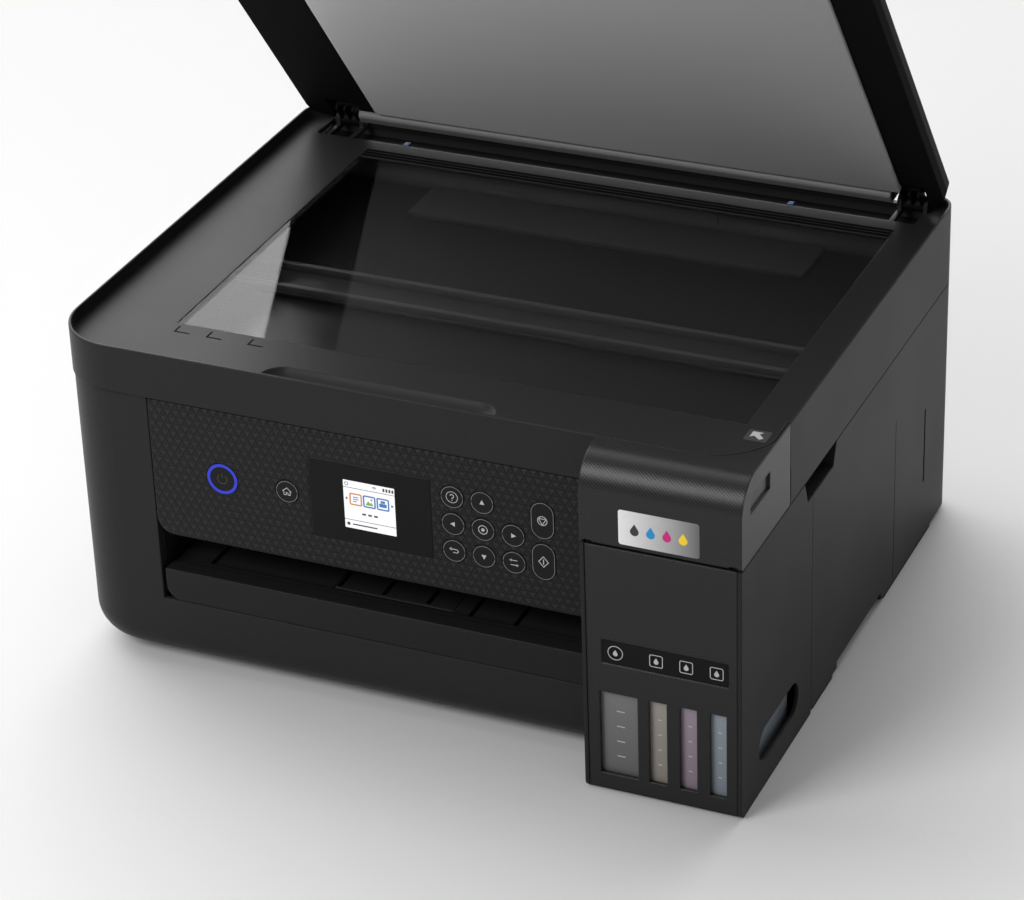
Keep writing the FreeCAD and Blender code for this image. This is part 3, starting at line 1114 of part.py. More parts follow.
def pieces():
    """Every node of the printer by name."""
    out = {
        "lower_case": lower_case(), "rubber_feet": rubber_feet(), "mechanism_base": mechanism_base(),
        "tank_housing": tank_housing(), "tank_front_plate": tank_front_plate(), "tank_cover": tank_cover(),
        "scanner_frame": scanner_frame(), "scanner_bed": scanner_bed(), "scanner_glass": scanner_glass(),
        "sensor_rail": sensor_rail(), "sensor_bar": sensor_bar(),
        "lid_shell": lid_shell(), "lid_mat": lid_mat(), "lid_bar": lid_bar(), "lid_hinges": lid_hinges(),
        "panel_front": panel_front(), "panel_housing": panel_housing(), "display_window": display_window(),
        "output_tray": output_tray(), "tray_extension": tray_extension(), "tray_stopper": tray_stopper(),
        "platen": platen(), "feed_roller": feed_roller(), "eject_roller": eject_roller(),
        "roller_belt": roller_belt(), "carriage_rail": carriage_rail(), "carriage_motor": carriage_motor(),
        "drive_pulley": drive_pulley(), "idler_pulley": idler_pulley(), "carriage_belt": carriage_belt(),
        "print_carriage": print_carriage(), "print_head": print_head(), "main_board": main_board(),
        "power_supply": power_supply(), "rear_feed": rear_feed(), "paper_support": paper_support(),
        "feed_flap": feed_flap(), "edge_guide_left": edge_guide(PAPER_LEFT + 1),
        "edge_guide_right": edge_guide(PAPER_RIGHT - 1 - GUIDE_THICKNESS),
    }
    for colour in WINDOWS:
        out["ink_tank_" + colour] = ink_tank(colour)
        out["tank_cap_" + colour] = tank_cap(colour)
    for name in button_places():
        out["button_" + name] = button(name)
    return out


os.makedirs("parts", exist_ok=True)
for node, shape in pieces().items():
    shape.exportStep("parts/" + node + ".step")
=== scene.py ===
import math

import bmesh
import bpy
from bpy.props import FloatProperty, FloatVectorProperty, IntProperty, PointerProperty
from mathutils import Matrix, Vector


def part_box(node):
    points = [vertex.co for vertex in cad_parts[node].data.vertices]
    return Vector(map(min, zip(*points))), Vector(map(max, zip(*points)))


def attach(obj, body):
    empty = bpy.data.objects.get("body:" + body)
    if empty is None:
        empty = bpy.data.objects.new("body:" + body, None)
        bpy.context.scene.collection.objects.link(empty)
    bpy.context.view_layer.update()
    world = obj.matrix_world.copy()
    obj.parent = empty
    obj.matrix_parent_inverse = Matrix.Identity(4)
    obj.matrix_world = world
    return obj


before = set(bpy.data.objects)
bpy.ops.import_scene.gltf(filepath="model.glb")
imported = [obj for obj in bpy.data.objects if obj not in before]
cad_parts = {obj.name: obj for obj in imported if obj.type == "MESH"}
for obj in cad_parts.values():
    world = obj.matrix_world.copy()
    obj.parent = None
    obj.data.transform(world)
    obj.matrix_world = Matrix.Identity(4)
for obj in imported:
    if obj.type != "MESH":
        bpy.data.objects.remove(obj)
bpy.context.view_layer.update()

bl_info = {
    "name": "Ink tank printer",
    "version": (1, 0, 0),
    "blender": (4, 5, 0),
    "location": "View3D > Sidebar > Printer",
    "description": "Finishes, printed signs and studio for a printer with an open scanner lid",
    "category": "Object",
}

# Drawings and rows are given in millimetres.
MM = 0.001
# Print stands this far above its surface, and starts this far below it.
PAINT = 0.05 * MM
PAINT_ROOT = 0.02 * MM
# Depth of the plastic's grain, in metres.
GRAIN_DEPTH = 0.00003
# Brushed metal has long lines along the printer's width.
BRUSHED = (0.2, 22, 22)
# The lid's opening angle, and how deep its outer finish reaches, in millimetres.
LID_ANGLE = math.radians(52)
LID_SKIN = 5
# Middle and half width of the badge on the tank cover, in millimetres.
BADGE_X = 147
BADGE_Z = 150
BADGE_HALF_WIDTH = 20
# The glass lies this many millimetres below the deck round it.
GLASS_DROP = 0.2
# Height of the thin dark lines on the deck, which are painted groove shade, and of those on the tray, in
# millimetres.
LINE_HEIGHT = 0.14
# Paints of a drawing that has two: its ground, ring or outline, and its sign.
GROUND, SIGN = 0, 1
KEYS = ("home", "help", "up", "left", "enter", "right", "back", "down", "swap", "stop", "start")
INKS = ("black", "yellow", "magenta", "cyan")
# What every colour in the sidebar has in common.
COLOUR = {"subtype": "COLOR", "size": 3, "min": 0, "max": 1}


class PrinterFinishes(bpy.types.PropertyGroup):
    """Colours and pattern sizes of the printer's surfaces."""

    plastic: FloatVectorProperty(
        name="Plastic", description="Colour of the grained outer plastic",
        default=(0.020, 0.020, 0.0205), **COLOUR,
    )
    # The lid's inner frame is darker than the plastic, partly as painted shade.
    lid: FloatVectorProperty(
        name="Lid", description="Colour of the lid's inner frame",
        default=(0.007, 0.007, 0.0071), **COLOUR,
    )
    mat: FloatVectorProperty(
        name="Mat", description="Colour of the sheet that presses a document on the glass",
        default=(0.36, 0.36, 0.36), **COLOUR,
    )
    print_colour: FloatVectorProperty(
        name="Print", description="Colour of the signs printed on the keys",
        default=(0.46, 0.46, 0.45), **COLOUR,
    )
    ring: FloatVectorProperty(
        name="Power ring", description="Colour of the light round the power key",
        default=(0.006, 0.028, 0.80), **COLOUR,
    )
    grain: FloatProperty(
        name="Grain", description="Size of the plastic's grain",
        unit="LENGTH", min=0.0001, max=0.005, default=0.0007,
    )
    lattice: FloatProperty(
        name="Lattice", description="Side of the small triangles on the control panel",
        unit="LENGTH", min=0.001, max=0.02, default=0.0046,
    )
    twill: FloatProperty(
        name="Twill", description="Width of one rib in the weave on the tank's front",
        unit="LENGTH", min=0.0003, max=0.01, default=0.0020,
    )
    edge: FloatProperty(
        name="Soft edge", description="Radius that rounds the look of moulded edges",
        unit="LENGTH", min=0, max=0.003, default=0.0012,
    )


class PrinterDetails(bpy.types.PropertyGroup):
    """Counts and sizes of the small repeated pieces."""

    rib_count: IntProperty(
        name="Wall ribs", description="Ribs on the wall beside the paper outlet",
        min=2, max=30, default=11,
    )
    tick_count: IntProperty(
        name="Level ticks", description="Level marks on each ink window", min=2, max=20, default=4,
    )
    outline: FloatProperty(
        name="Key outline", description="Width of the thin line round each key",
        unit="LENGTH", min=0.0001, max=0.001, default=0.0003,
    )


class PrinterStudio(bpy.types.PropertyGroup):
    """Camera and light."""

    camera_place: FloatVectorProperty(
        name="Camera", description="Where the camera stands",
        subtype="XYZ", unit="LENGTH", size=3, default=(0.673644, -1.487082, 0.992615),
    )
    azimuth: FloatProperty(
        name="Azimuth", description="Turn of the view to the right of the printer's front",
        subtype="ANGLE", default=math.radians(24.51),
    )
    elevation: FloatProperty(
        name="Elevation", description="Height of the view above the horizon",
        subtype="ANGLE", default=math.radians(29.37),
    )
    roll: FloatProperty(
        name="Roll", description="Lean of the camera", subtype="ANGLE", default=math.radians(-2.09),
    )
    lens: FloatProperty(
        name="Lens", description="Focal length", subtype="DISTANCE_CAMERA", min=10, max=400, default=126.23,
    )
    floor: FloatVectorProperty(
        name="Floor", description="Colour of the table", default=(0.58, 0.58, 0.58), **COLOUR,
    )


class Signal:
    """One socket of a material's nodes that takes part in sums like a number."""

    def __init__(self, finish, socket):
        self.finish = finish
        self.socket = socket

    def combine(self, operation, first, second=0.0):
        node = self.finish.node("ShaderNodeMath", {"operation": operation}, {0: first, 1: second})
        return Signal(self.finish, node.outputs[0])

    def __add__(self, other):
        return self.combine("ADD", self, other)

    __radd__ = __add__

    def __sub__(self, other):
        return self.combine("SUBTRACT", self, other)

    def __rsub__(self, other):
        return self.combine("SUBTRACT", other, self)

    def __mul__(self, other):
        return self.combine("MULTIPLY", self, other)

    __rmul__ = __mul__

    def __truediv__(self, other):
        return self.combine("DIVIDE", self, other)

    def __gt__(self, other):
        return self.combine("GREATER_THAN", self, other)

    def __lt__(self, other):
        return self.combine("LESS_THAN", self, other)

    def __abs__(self):
        return self.combine("ABSOLUTE", self)

    def fraction(self):
        return self.combine("FRACT", self)

    def lower(self, other):
        return self.combine("MINIMUM", self, other)

    def higher(self, other):
        return self.combine("MAXIMUM", self, other)

    def power(self, other):
        return self.combine("POWER", self, other)


class Finish:
    """A material in the making: it adds nodes and ends in one shader."""

    def __init__(self, name):
        self.material = bpy.data.materials.new(name)
        self.material.use_nodes = True
        self.tree = self.material.node_tree
        self.tree.nodes.clear()
        self.place = Signal(self, self.node("ShaderNodeTexCoord").outputs["Object"])

    def node(self, kind, settings=None, sockets=None):
        """Add a node, then its settings, then the values or links of its sockets."""
        node = self.tree.nodes.new(kind)
        for name, value in (settings or {}).items():
            setattr(node, name, value)
        for name, value in (sockets or {}).items():
            if isinstance(value, Signal):
                self.tree.links.new(value.socket, node.inputs[name])
            else:
                node.inputs[name].default_value = value
        return node

    def axes(self):
        """The place on the piece as x, y and z."""
        split = self.node("ShaderNodeSeparateXYZ", None, {0: self.place})
        return [Signal(self, output) for output in split.outputs]

    def stretched(self, scale):
        """The place on the piece, scaled along each axis."""
        node = self.node("ShaderNodeMapping", None, {"Vector": self.place, "Scale": scale})
        return Signal(self, node.outputs[0])

    def noise(self, size, detail=2.0, place=None):
        """Noise with patches of about this size, in metres."""
        sockets = {"Vector": place or self.place, "Scale": 1 / size, "Detail": detail}
        return Signal(self, self.node("ShaderNodeTexNoise", None, sockets).outputs[0])

    def between(self, factor, first, second):
        """A mix of two colours: the first at factor 0, the second at factor 1."""
        first = first if isinstance(first, Signal) else (*first, 1)
        second = second if isinstance(second, Signal) else (*second, 1)
        settings = {"data_type": "RGBA", "clamp_factor": True}
        node = self.node("ShaderNodeMix", settings, {0: factor, 6: first, 7: second})
        return Signal(self, node.outputs[2])

    def relief(self, height, depth):
        """A bump over edges that look slightly rounded."""
        bevel = self.node("ShaderNodeBevel", {"samples": 4}, {"Radius": settings().edge})
        sockets = {
            "Height": height, "Distance": depth, "Strength": 1.0,
            "Normal": Signal(self, bevel.outputs[0]),
        }
        return Signal(self, self.node("ShaderNodeBump", None, sockets).outputs[0])

    def close(self, colour, roughness, normal=None, **further):
        """End in one shader; an underscore in a further socket's name stands for a space."""
        sockets = {"Base Color": colour, "Roughness": roughness}
        if normal is not None:
            sockets["Normal"] = normal
        for name, value in further.items():
            sockets[name.replace("_", " ")] = value
        shader = self.node("ShaderNodeBsdfPrincipled", None, sockets)
        output = self.node("ShaderNodeOutputMaterial")
        self.tree.links.new(shader.outputs[0], output.inputs["Surface"])
        return self.material


def shade(colour, factor):
    """A colour made darker or lighter by a factor."""
    return tuple(min(1.0, part * factor) for part in colour)


def settings():
    """Colours and pattern sizes as the sidebar shows them."""
    return bpy.context.scene.printer_finishes


def grained_plastic(name, colour, roughness, gloss=0.14):
    """Moulded plastic with a fine spark-eroded grain."""
    finish = Finish(name)
    grain = finish.noise(settings().grain, 3)
    cloud = finish.noise(0.05, 2)
    tone = finish.between(grain, shade(colour, 0.75), shade(colour, 1.3))
    rough = roughness + 0.10 * (cloud - 0.5) + 0.06 * (grain - 0.5)
    return finish.close(tone, rough, finish.relief(grain, GRAIN_DEPTH), Specular_IOR_Level=gloss)


def case_black():
    return grained_plastic("case_black", tuple(settings().plastic), 0.40, gloss=0.08)


def lid_black():
    """The lid: the case's plastic outside, a darker and duller frame round the mat inside; the darker
    colour is partly painted shade.
    """
    finish = Finish("lid_black")
    y, z = finish.axes()[1:]
    sine, cosine = math.sin(LID_ANGLE), math.cos(LID_ANGLE)
    corners = [vertex.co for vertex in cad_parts["lid_shell"].data.vertices]
    top = max(corner.y * sine + corner.z * cosine for corner in corners)
    outside = ((y * sine + z * cosine - top) / MM + LID_SKIN).lower(1.0).higher(0.0)
    grain = finish.noise(settings().grain, 3)
    # The inner frame's darker colour is partly painted shade.
    tone = finish.between(outside, tuple(settings().lid), tuple(settings().plastic))
    tone = finish.between(0.4 * grain, tone, (0.003, 0.003, 0.003))
    rough = 0.7 - 0.25 * outside + 0.06 * (grain - 0.5)
    return finish.close(tone, rough, finish.relief(grain, GRAIN_DEPTH), Specular_IOR_Level=0.015)


def tray_black():
    """The tray's plastic; its floor behind the front wall is painted lighter, as painted light reaching
    into the opening.
    """
    finish = Finish("tray_black")
    wall, fade = 0.006, 0.004
    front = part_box("output_tray")[0].y
    behind = (finish.axes()[1] - (front + wall)) / fade
    grain = finish.noise(settings().grain, 3)
    colour = tuple(settings().plastic)
    # Painted light: the floor behind the front wall is made lighter than the wall itself.
    tone = finish.between(behind, shade(colour, 0.8), shade(colour, 1.7))
    tone = finish.between(grain, shade(colour, 0.4), tone)
    rough = 0.36 + 0.1 * grain
    return finish.close(tone, rough, finish.relief(grain, GRAIN_DEPTH), Specular_IOR_Level=0.14)


# Plastic inside the body: a darker black than the case, partly painted shade.
def inner_black():
    return grained_plastic("inner_black", (0.0055, 0.0055, 0.0058), 0.55)


def bed_black():
    """The tub under the glass: painted lighter with height, with painted shade on its low floor, so that
    step, ridges and walls stand out.
    """
    finish = Finish("bed_black")
    floor_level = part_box("sensor_rail")[0].z
    ridge_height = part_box("sensor_rail")[1].z - floor_level
    height = (finish.axes()[2] - floor_level) / ridge_height
    grain = finish.noise(settings().grain, 3)
    # Painted light and shade: the low floor is darker, the raised ridges and walls lighter.
    tone = finish.between(height, (0.014, 0.014, 0.014), (0.105, 0.105, 0.105))
    tone = finish.between(0.3 * grain, tone, (0.006, 0.006, 0.006))
    rough = 0.33 + 0.06 * grain
    return finish.close(tone, rough, finish.relief(grain, 0.00001), Specular_IOR_Level=0.2)


def bar_painted_light():
    """The lid's hinge rail, painted lighter than the deck: painted light where the lid shades it."""
    # Painted light: a grey far lighter than the case plastic.
    return grained_plastic("bar_painted_light", (0.16, 0.16, 0.16), 0.4)


def frame_grey():
    return grained_plastic("frame_grey", (0.11, 0.11, 0.115), 0.5)


def clip_blue():
    return grained_plastic("clip_blue", (0.012, 0.06, 0.20), 0.4)


def lattice_black():
    """Panel face: small triangles in low relief with dark joints between them."""
    finish = Finish("lattice_black")
    x, _, z = finish.axes()
    side = settings().lattice
    row = z / (side * math.sqrt(3) / 2)
    slant = x / side - 0.5 * row
    lines = [slant.fraction(), row.fraction(), (slant + row).fraction()]
    gaps = [0.5 - abs(line - 0.5) for line in lines]
    nearest = gaps[0].lower(gaps[1]).lower(gaps[2])
    steepness = 7
    height = (nearest * steepness).lower(1.0)
    pointing_up = lines[0] + lines[1] > 1.0
    grain = finish.noise(settings().grain, 2)
    tone = finish.between(pointing_up, (0.009, 0.009, 0.0094), (0.018, 0.018, 0.0184))
    tone = finish.between(height, (0.003, 0.003, 0.003), tone)
    rough = 0.36 + 0.08 * pointing_up + 0.05 * (grain - 0.5)
    normal = finish.relief(height + 0.1 * grain, 0.00012)
    return finish.close(tone, rough, normal, Specular_IOR_Level=0.16)


def twill_black():
    """Tank front and cover: a fine diagonal weave pressed into the plastic."""
    finish = Finish("twill_black")
    x, y, z = finish.axes()
    pitch = settings().twill
    upward = z + y
    rib = abs(((x + upward) / pitch).fraction() - 0.5) * 2
    thread = abs(((x - upward) / (pitch * 0.5)).fraction() - 0.5) * 2
    weave = rib * 0.85 + thread * 0.15
    tone = finish.between(weave, (0.0005, 0.0005, 0.0006), (0.025, 0.025, 0.0254))
    rough = 0.27 + 0.08 * weave
    return finish.close(tone, rough, finish.relief(weave, 0.00004), Specular_IOR_Level=0.26)


def gloss_black():
    """Polished black of the display window and the ink label, with a trace of fingerprints."""
    finish = Finish("gloss_black")
    smudge = finish.noise(0.012, 4)
    tone = finish.between(smudge, (0.0035, 0.0035, 0.004), (0.0055, 0.0055, 0.006))
    rough = 0.10 + 0.08 * smudge
    return finish.close(tone, rough, finish.relief(smudge, 0.000002), Specular_IOR_Level=0.12)


def key_black():
    """Key tops: smoother than the panel, so they read as separate pieces."""
    finish = Finish("key_black")
    grain = finish.noise(0.0005, 2)
    tone = finish.between(grain, (0.008, 0.008, 0.0085), (0.013, 0.013, 0.0135))
    return finish.close(tone, 0.34 + 0.08 * grain, finish.relief(grain, 0.00001), Specular_IOR_Level=0.1)


def scanner_pane():
    """Scanner glass with a faint trace of dust; its low index keeps the mat's reflection weak."""
    finish = Finish("scanner_pane")
    dust = finish.noise(0.03, 4)
    tone = finish.between(dust, (0.97, 0.97, 0.97), (0.99, 0.99, 0.99))
    rough = 0.004 + 0.012 * dust.power(4)
    return finish.close(tone, rough, Transmission_Weight=1.0, IOR=1.16)


def document_mat():
    """The smooth sheet under the lid: a soft sheen, faint ripples, and painted light that makes it lighter
    towards the left.
    """
    finish = Finish("document_mat")
    ripple = finish.noise(0.09, 2)
    fibre = finish.noise(0.0012, 2)
    colour = tuple(settings().mat)
    low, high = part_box("lid_mat")
    along = (finish.axes()[0] - low.x) / (high.x - low.x)
    # Painted light: the sheet is lighter at its left end than at its right.
    tone = finish.between(along, shade(colour, 1.6), shade(colour, 0.9))
    tone = finish.between(0.1 * ripple, tone, shade(colour, 0.7))
    return finish.close(tone, 0.34 + 0.08 * fibre, finish.relief(ripple + 0.02 * fibre, 0.0002))


def rubber(name, colour):
    """Dull rubber with a coarse grain."""
    finish = Finish(name)
    grain = finish.noise(0.0012, 3)
    tone = finish.between(grain, shade(colour, 0.7), shade(colour, 1.2))
    return finish.close(tone, 0.75 + 0.15 * grain, finish.relief(grain, 0.00006))


def foot_pad():
    return rubber("foot_pad", (0.016, 0.016, 0.016))


def roller_grip():
    return rubber("roller_grip", (0.05, 0.05, 0.052))


def belt_black():
    return rubber("belt_black", (0.012, 0.012, 0.012))


def plated_steel():
    """Plated steel with fine lines along the printer's width."""
    finish = Finish("plated_steel")
    lines = finish.noise(0.01, 3, finish.stretched(BRUSHED))
    cloud = finish.noise(0.03, 2)
    tone = finish.between(lines, (0.46, 0.47, 0.48), (0.62, 0.63, 0.64))
    rough = 0.22 + 0.12 * lines + 0.08 * cloud
    return finish.close(tone, rough, finish.relief(lines, 0.00001), Metallic=1.0)


def badge_silver():
    """A silver plate with painted shade that darkens it towards its right end."""
    finish = Finish("badge_silver")
    left, width = BADGE_X - BADGE_HALF_WIDTH, 2 * BADGE_HALF_WIDTH
    along = (finish.axes()[0] - left * MM) / (width * MM)
    lines = finish.noise(0.004, 2, finish.stretched(BRUSHED))
    # Painted shade: the plate's colour falls from bright silver to dark along its width.
    tone = finish.between(along + 0.1 * (lines - 0.5), (0.85, 0.85, 0.85), (0.16, 0.16, 0.16))
    return finish.close(tone, 0.26 + 0.1 * lines, Metallic=1.0)


def circuit_green():
    """Lacquered board with copper tracks, dark chips and a steel socket at the back."""
    finish = Finish("circuit_green")
    x, y, z = finish.axes()
    track_pitch, cross_pitch = 0.003, 0.005
    track = abs((x / track_pitch).fraction() - 0.5) < 0.16
    cross = abs((y / cross_pitch).fraction() - 0.5) < 0.10
    cloud = finish.noise(0.006, 3)
    tone = finish.between(track.higher(cross) * cloud * 1.6, (0.008, 0.06, 0.026), (0.03, 0.17, 0.07))
    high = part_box("main_board")[1]
    socket_height, socket_depth = 0.0118, 0.025
    raised = z > high.z - socket_height
    steel = raised * (y > high.y - socket_depth)
    tone = finish.between(raised, tone, (0.012, 0.012, 0.012))
    tone = finish.between(steel, tone, (0.45, 0.45, 0.46))
    rough = 0.3 + 0.15 * cloud
    return finish.close(tone, rough, finish.relief(track, 0.00003), Metallic=steel, Coat_Weight=0.2)


def tank_tint(ink, empty, full):
    """Cloudy tank wall: the ink behind it deepens the colour towards the bottom."""
    finish = Finish("tank_" + ink)
    z = finish.axes()[2]
    low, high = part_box("ink_tank_" + ink)
    cloud = finish.noise(0.012, 3)
    depth = (z - low.z) / (0.5 * (high.z - low.z)) + 0.12 * (cloud - 0.5)
    tone = finish.between(depth, full, empty)
    rough = 0.30 + 0.10 * cloud
    return finish.close(tone, rough, finish.relief(cloud, 0.00004), Coat_Weight=0.25)


def tank_finishes():
    return {
        "black": tank_tint("black", (0.155, 0.155, 0.155), (0.09, 0.09, 0.09)),
        "yellow": tank_tint("yellow", (0.30, 0.275, 0.245), (0.195, 0.175, 0.15)),
        "magenta": tank_tint("magenta", (0.29, 0.235, 0.285), (0.19, 0.145, 0.18)),
        "cyan": tank_tint("cyan", (0.24, 0.275, 0.315), (0.15, 0.175, 0.205)),
    }


def cap_finishes():
    tints = {
        "black": (0.015, 0.015, 0.016), "yellow": (0.55, 0.36, 0.02),
        "magenta": (0.38, 0.015, 0.12), "cyan": (0.01, 0.17, 0.36),
    }
    return {ink: grained_plastic("cap_tint_" + ink, tint, 0.42) for ink, tint in tints.items()}


def printed(name, colour, roughness=0.5, gloss=0.5):
    """Screen print: a thin coat of colour with a faint speckle."""
    finish = Finish(name)
    speckle = finish.noise(0.0009, 3)
    tone = finish.between(speckle, shade(colour, 0.85), shade(colour, 1.08))
    return finish.close(tone, roughness + 0.1 * speckle, Specular_IOR_Level=gloss)


def lit(name, colour, strength, base=(0.02, 0.02, 0.02)):
    """A surface that glows a little unevenly, as light guides and displays do."""
    finish = Finish(name)
    cloud = finish.noise(0.004, 2)
    glow = finish.between(cloud, shade(colour, 0.88), colour)
    tone = finish.between(cloud, shade(base, 0.9), base)
    return finish.close(tone, 0.3 + 0.1 * cloud, Emission_Color=glow, Emission_Strength=strength)


# Finishes that are made already, by their maker function.
MADE = {}


def known(maker):
    """A finish by its maker function, made once and shared."""
    if maker not in MADE:
        MADE[maker] = maker()
    return MADE[maker]


def print_bright():
    return printed("print_bright", tuple(settings().print_colour))


def print_soft():
    return printed("print_soft", shade(settings().print_colour, 0.36))


def print_faint():
    return printed("print_faint", (0.035, 0.035, 0.036))


# Dark print for the ticks, also used for the painted groove shade on the deck.
def dark_print_and_shade():
    return printed("dark_print_and_shade", (0.0012, 0.0012, 0.0012), 0.7, 0.03)


def coat(material, *nodes):
    """Give CAD nodes their finish."""
    for node in nodes:
        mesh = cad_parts[node].data
        mesh.materials.clear()
        mesh.materials.append(material)


def add_object(name, mesh, materials=()):
    """Put a mesh with its materials into the scene."""
    for material in materials:
        mesh.materials.append(material)
    made = bpy.data.objects.new(name, mesh)
    bpy.context.scene.collection.objects.link(made)
    return made


def settle(piece, body):
    """Let a finished piece ride on its body."""
    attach(piece, body)


def arc(x, z, radius, start, end, count):
    """Points on an arc, angles in degrees from the right, counter-clockwise."""
    points = []
    for step in range(count):
        angle = math.radians(start + (end - start) * step / (count - 1))
        points.append((x + radius * math.cos(angle), z + radius * math.sin(angle)))
    return points


def circle(x, z, radius, count=40):
    """A closed outline of evenly spaced points."""
    return arc(x, z, radius, 0, 360 - 360 / count, count)


def rounded(x, z, half_x, half_z, radius):
    """A rectangle with round corners as a closed outline."""
    points = []
    corners = ((1, 1, 0), (-1, 1, 90), (-1, -1, 180), (1, -1, 270))
    for side_x, side_z, start in corners:
        middle = (x + side_x * (half_x - radius), z + side_z * (half_z - radius))
        points += arc(*middle, radius, start, start + 90, 9)
    return points


def drop(x, z, size):
    """A liquid drop, pointed at the top."""
    points = arc(x, z - 0.25 * size, 0.72 * size, 150, 390, 17)
    return points + [(x, z + 1.1 * size)]


class Drawing:
    """Flat printed shapes on one face, in millimetres from a middle point."""

    def __init__(self, origin, up=(0, 0, 1)):
        self.origin = Vector(origin)
        self.right = Vector((1, 0, 0))
        self.up = Vector(up)
        self.outward = self.right.cross(self.up)
        self.mesh = bmesh.new()

    def spot(self, point, lift):
        """Where a drawn point lies in space, lifted off the face."""
        return self.origin + (self.right * point[0] + self.up * point[1]) * MM + self.outward * lift

    def rise(self, thickness=PAINT):
        """Put what follows on top of the print so far."""
        self.origin += self.outward * thickness

    def patch(self, points, paint=0, thickness=PAINT):
        """A filled outline with a paint's thickness."""
        turn = zip(points, points[1:] + points[:1])
        area = sum(a[0] * b[1] - b[0] * a[1] for a, b in turn)
        points = points if area > 0 else points[::-1]
        low = [self.mesh.verts.new(self.spot(point, -PAINT_ROOT)) for point in points]
        high = [self.mesh.verts.new(self.spot(point, thickness)) for point in points]
        faces = [self.mesh.faces.new(high), self.mesh.faces.new(low[::-1])]
        for index in range(len(points)):
            after = (index + 1) % len(points)
            faces.append(self.mesh.faces.new((low[index], low[after], high[after], high[index])))
        for face in faces:
            face.material_index = paint

    def line(self, points, width, closed=False, paint=0):
        """One closed band of even width through the points, with mitred corners."""
        rings = []
        for index in range(len(points)):
            left, right = self.sides_at(points, index, width / 2, closed)
            corners = ((left, -PAINT_ROOT), (right, -PAINT_ROOT), (right, PAINT), (left, PAINT))
            rings.append([self.mesh.verts.new(self.spot(*corner)) for corner in corners])
        if closed:
            faces = []
            stretches = list(zip(rings, rings[1:] + rings[:1]))
        else:
            faces = [self.mesh.faces.new(rings[0]), self.mesh.faces.new(rings[-1][::-1])]
            stretches = list(zip(rings, rings[1:]))
        for first, second in stretches:
            for corner in range(4):
                after = (corner + 1) % 4
                wall = (first[corner], second[corner], second[after], first[after])
                faces.append(self.mesh.faces.new(wall))
        for face in faces:
            face.material_index = paint

    def sides_at(self, points, index, half, closed):
        """The two points where a line's edges pass one of its corners."""
        here = Vector(points[index])
        before = Vector(points[index - 1]) if index or closed else None
        last = len(points) - 1
        after = Vector(points[(index + 1) % len(points)]) if index < last or closed else None
        coming = (here - before).normalized() if before else (after - here).normalized()
        going = (after - here).normalized() if after else coming
        across = Vector((-(coming + going).y, (coming + going).x)).normalized()
        reach = half / max(0.3, across.dot(Vector((-coming.y, coming.x))))
        return tuple(here + across * reach), tuple(here - across * reach)

    def piece(self, name, materials):
        """The finished drawing as an object."""
        mesh = bpy.data.meshes.new(name)
        self.mesh.to_mesh(mesh)
        self.mesh.free()
        return add_object(name, mesh, materials)


def front_middle(node):
    """The middle of a node's front face and its half sizes in millimetres."""
    low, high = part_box(node)
    middle = Vector(((low.x + high.x) / 2, low.y, (low.z + high.z) / 2))
    return middle, (high.x - low.x) / 2 / MM, (high.z - low.z) / 2 / MM


def sign_help(drawing):
    """A question mark in a ring."""
    hook = arc(0, 0.55, 0.95, 170, -60, 14) + [(0.05, -0.45), (0.05, -0.8)]
    drawing.line(circle(0, 0, 3.0), 0.3, True, SIGN)
    drawing.line(hook, 0.4, paint=SIGN)
    drawing.patch(circle(0.05, -1.55, 0.3, 12), SIGN)


def points_at(radius, angles):
    """Points at one distance from the middle, one for each angle in degrees."""
    turns = [math.radians(angle) for angle in angles]
    return [(radius * math.cos(turn), radius * math.sin(turn)) for turn in turns]


def sign_triangle(angle):
    """A function that draws a triangle which points along an angle."""
    def draw(drawing):
        drawing.patch(points_at(1.6, (angle, angle + 125, angle + 235)), SIGN)
    return draw


def sign_enter(drawing):
    """A dot in a ring."""
    drawing.line(circle(0, 0, 2.3), 0.4, True, SIGN)
    drawing.patch(circle(0, 0, 0.9, 20), SIGN)


def sign_back(drawing):
    """An arrow to the left with a bent tail."""
    bend = arc(1.2, 0, 0.9, 80, -90, 9)
    drawing.line([(-2.0, 0.9), (1.2, 0.9), *bend, (-0.6, -0.9)], 0.4, paint=SIGN)
    drawing.patch([(-2.6, 0.9), (-1.3, 1.9), (-1.3, -0.1)], SIGN)


def sign_swap(drawing):
    """Two arrows, one to each side."""
    for side in (-1, 1):
        level = side * 1.3
        drawing.line([(-1.8, level), (1.8, level)], 0.4, paint=SIGN)
        drawing.patch([(-side * 2.4, level), (-side * 1.2, level + 0.8), (-side * 1.2, level - 0.8)], SIGN)


def sign_home(drawing):
    """A house with a door."""
    walls = [(-1.7, 0.2), (-1.7, -1.8), (-0.5, -1.8), (-0.5, -0.5)]
    walls += [(0.5, -0.5), (0.5, -1.8), (1.7, -1.8), (1.7, 0.2)]
    drawing.line(walls, 0.35, paint=SIGN)
    drawing.line([(-2.4, 0.1), (0, 2.1), (2.4, 0.1)], 0.4, paint=SIGN)


def sign_stop(drawing):
    """A triangle in a ring."""
    drawing.line(circle(0, 0, 2.4), 0.4, True, SIGN)
    drawing.line(points_at(2.2, (-90, 30, 150)), 0.4, True, SIGN)


def sign_start(drawing):
    """An upright bar in a diamond."""
    drawing.line([(0, 2.9), (2.5, 0), (0, -2.9), (-2.5, 0)], 0.4, True, SIGN)
    drawing.line([(0, 1.4), (0, -1.4)], 0.5, paint=SIGN)


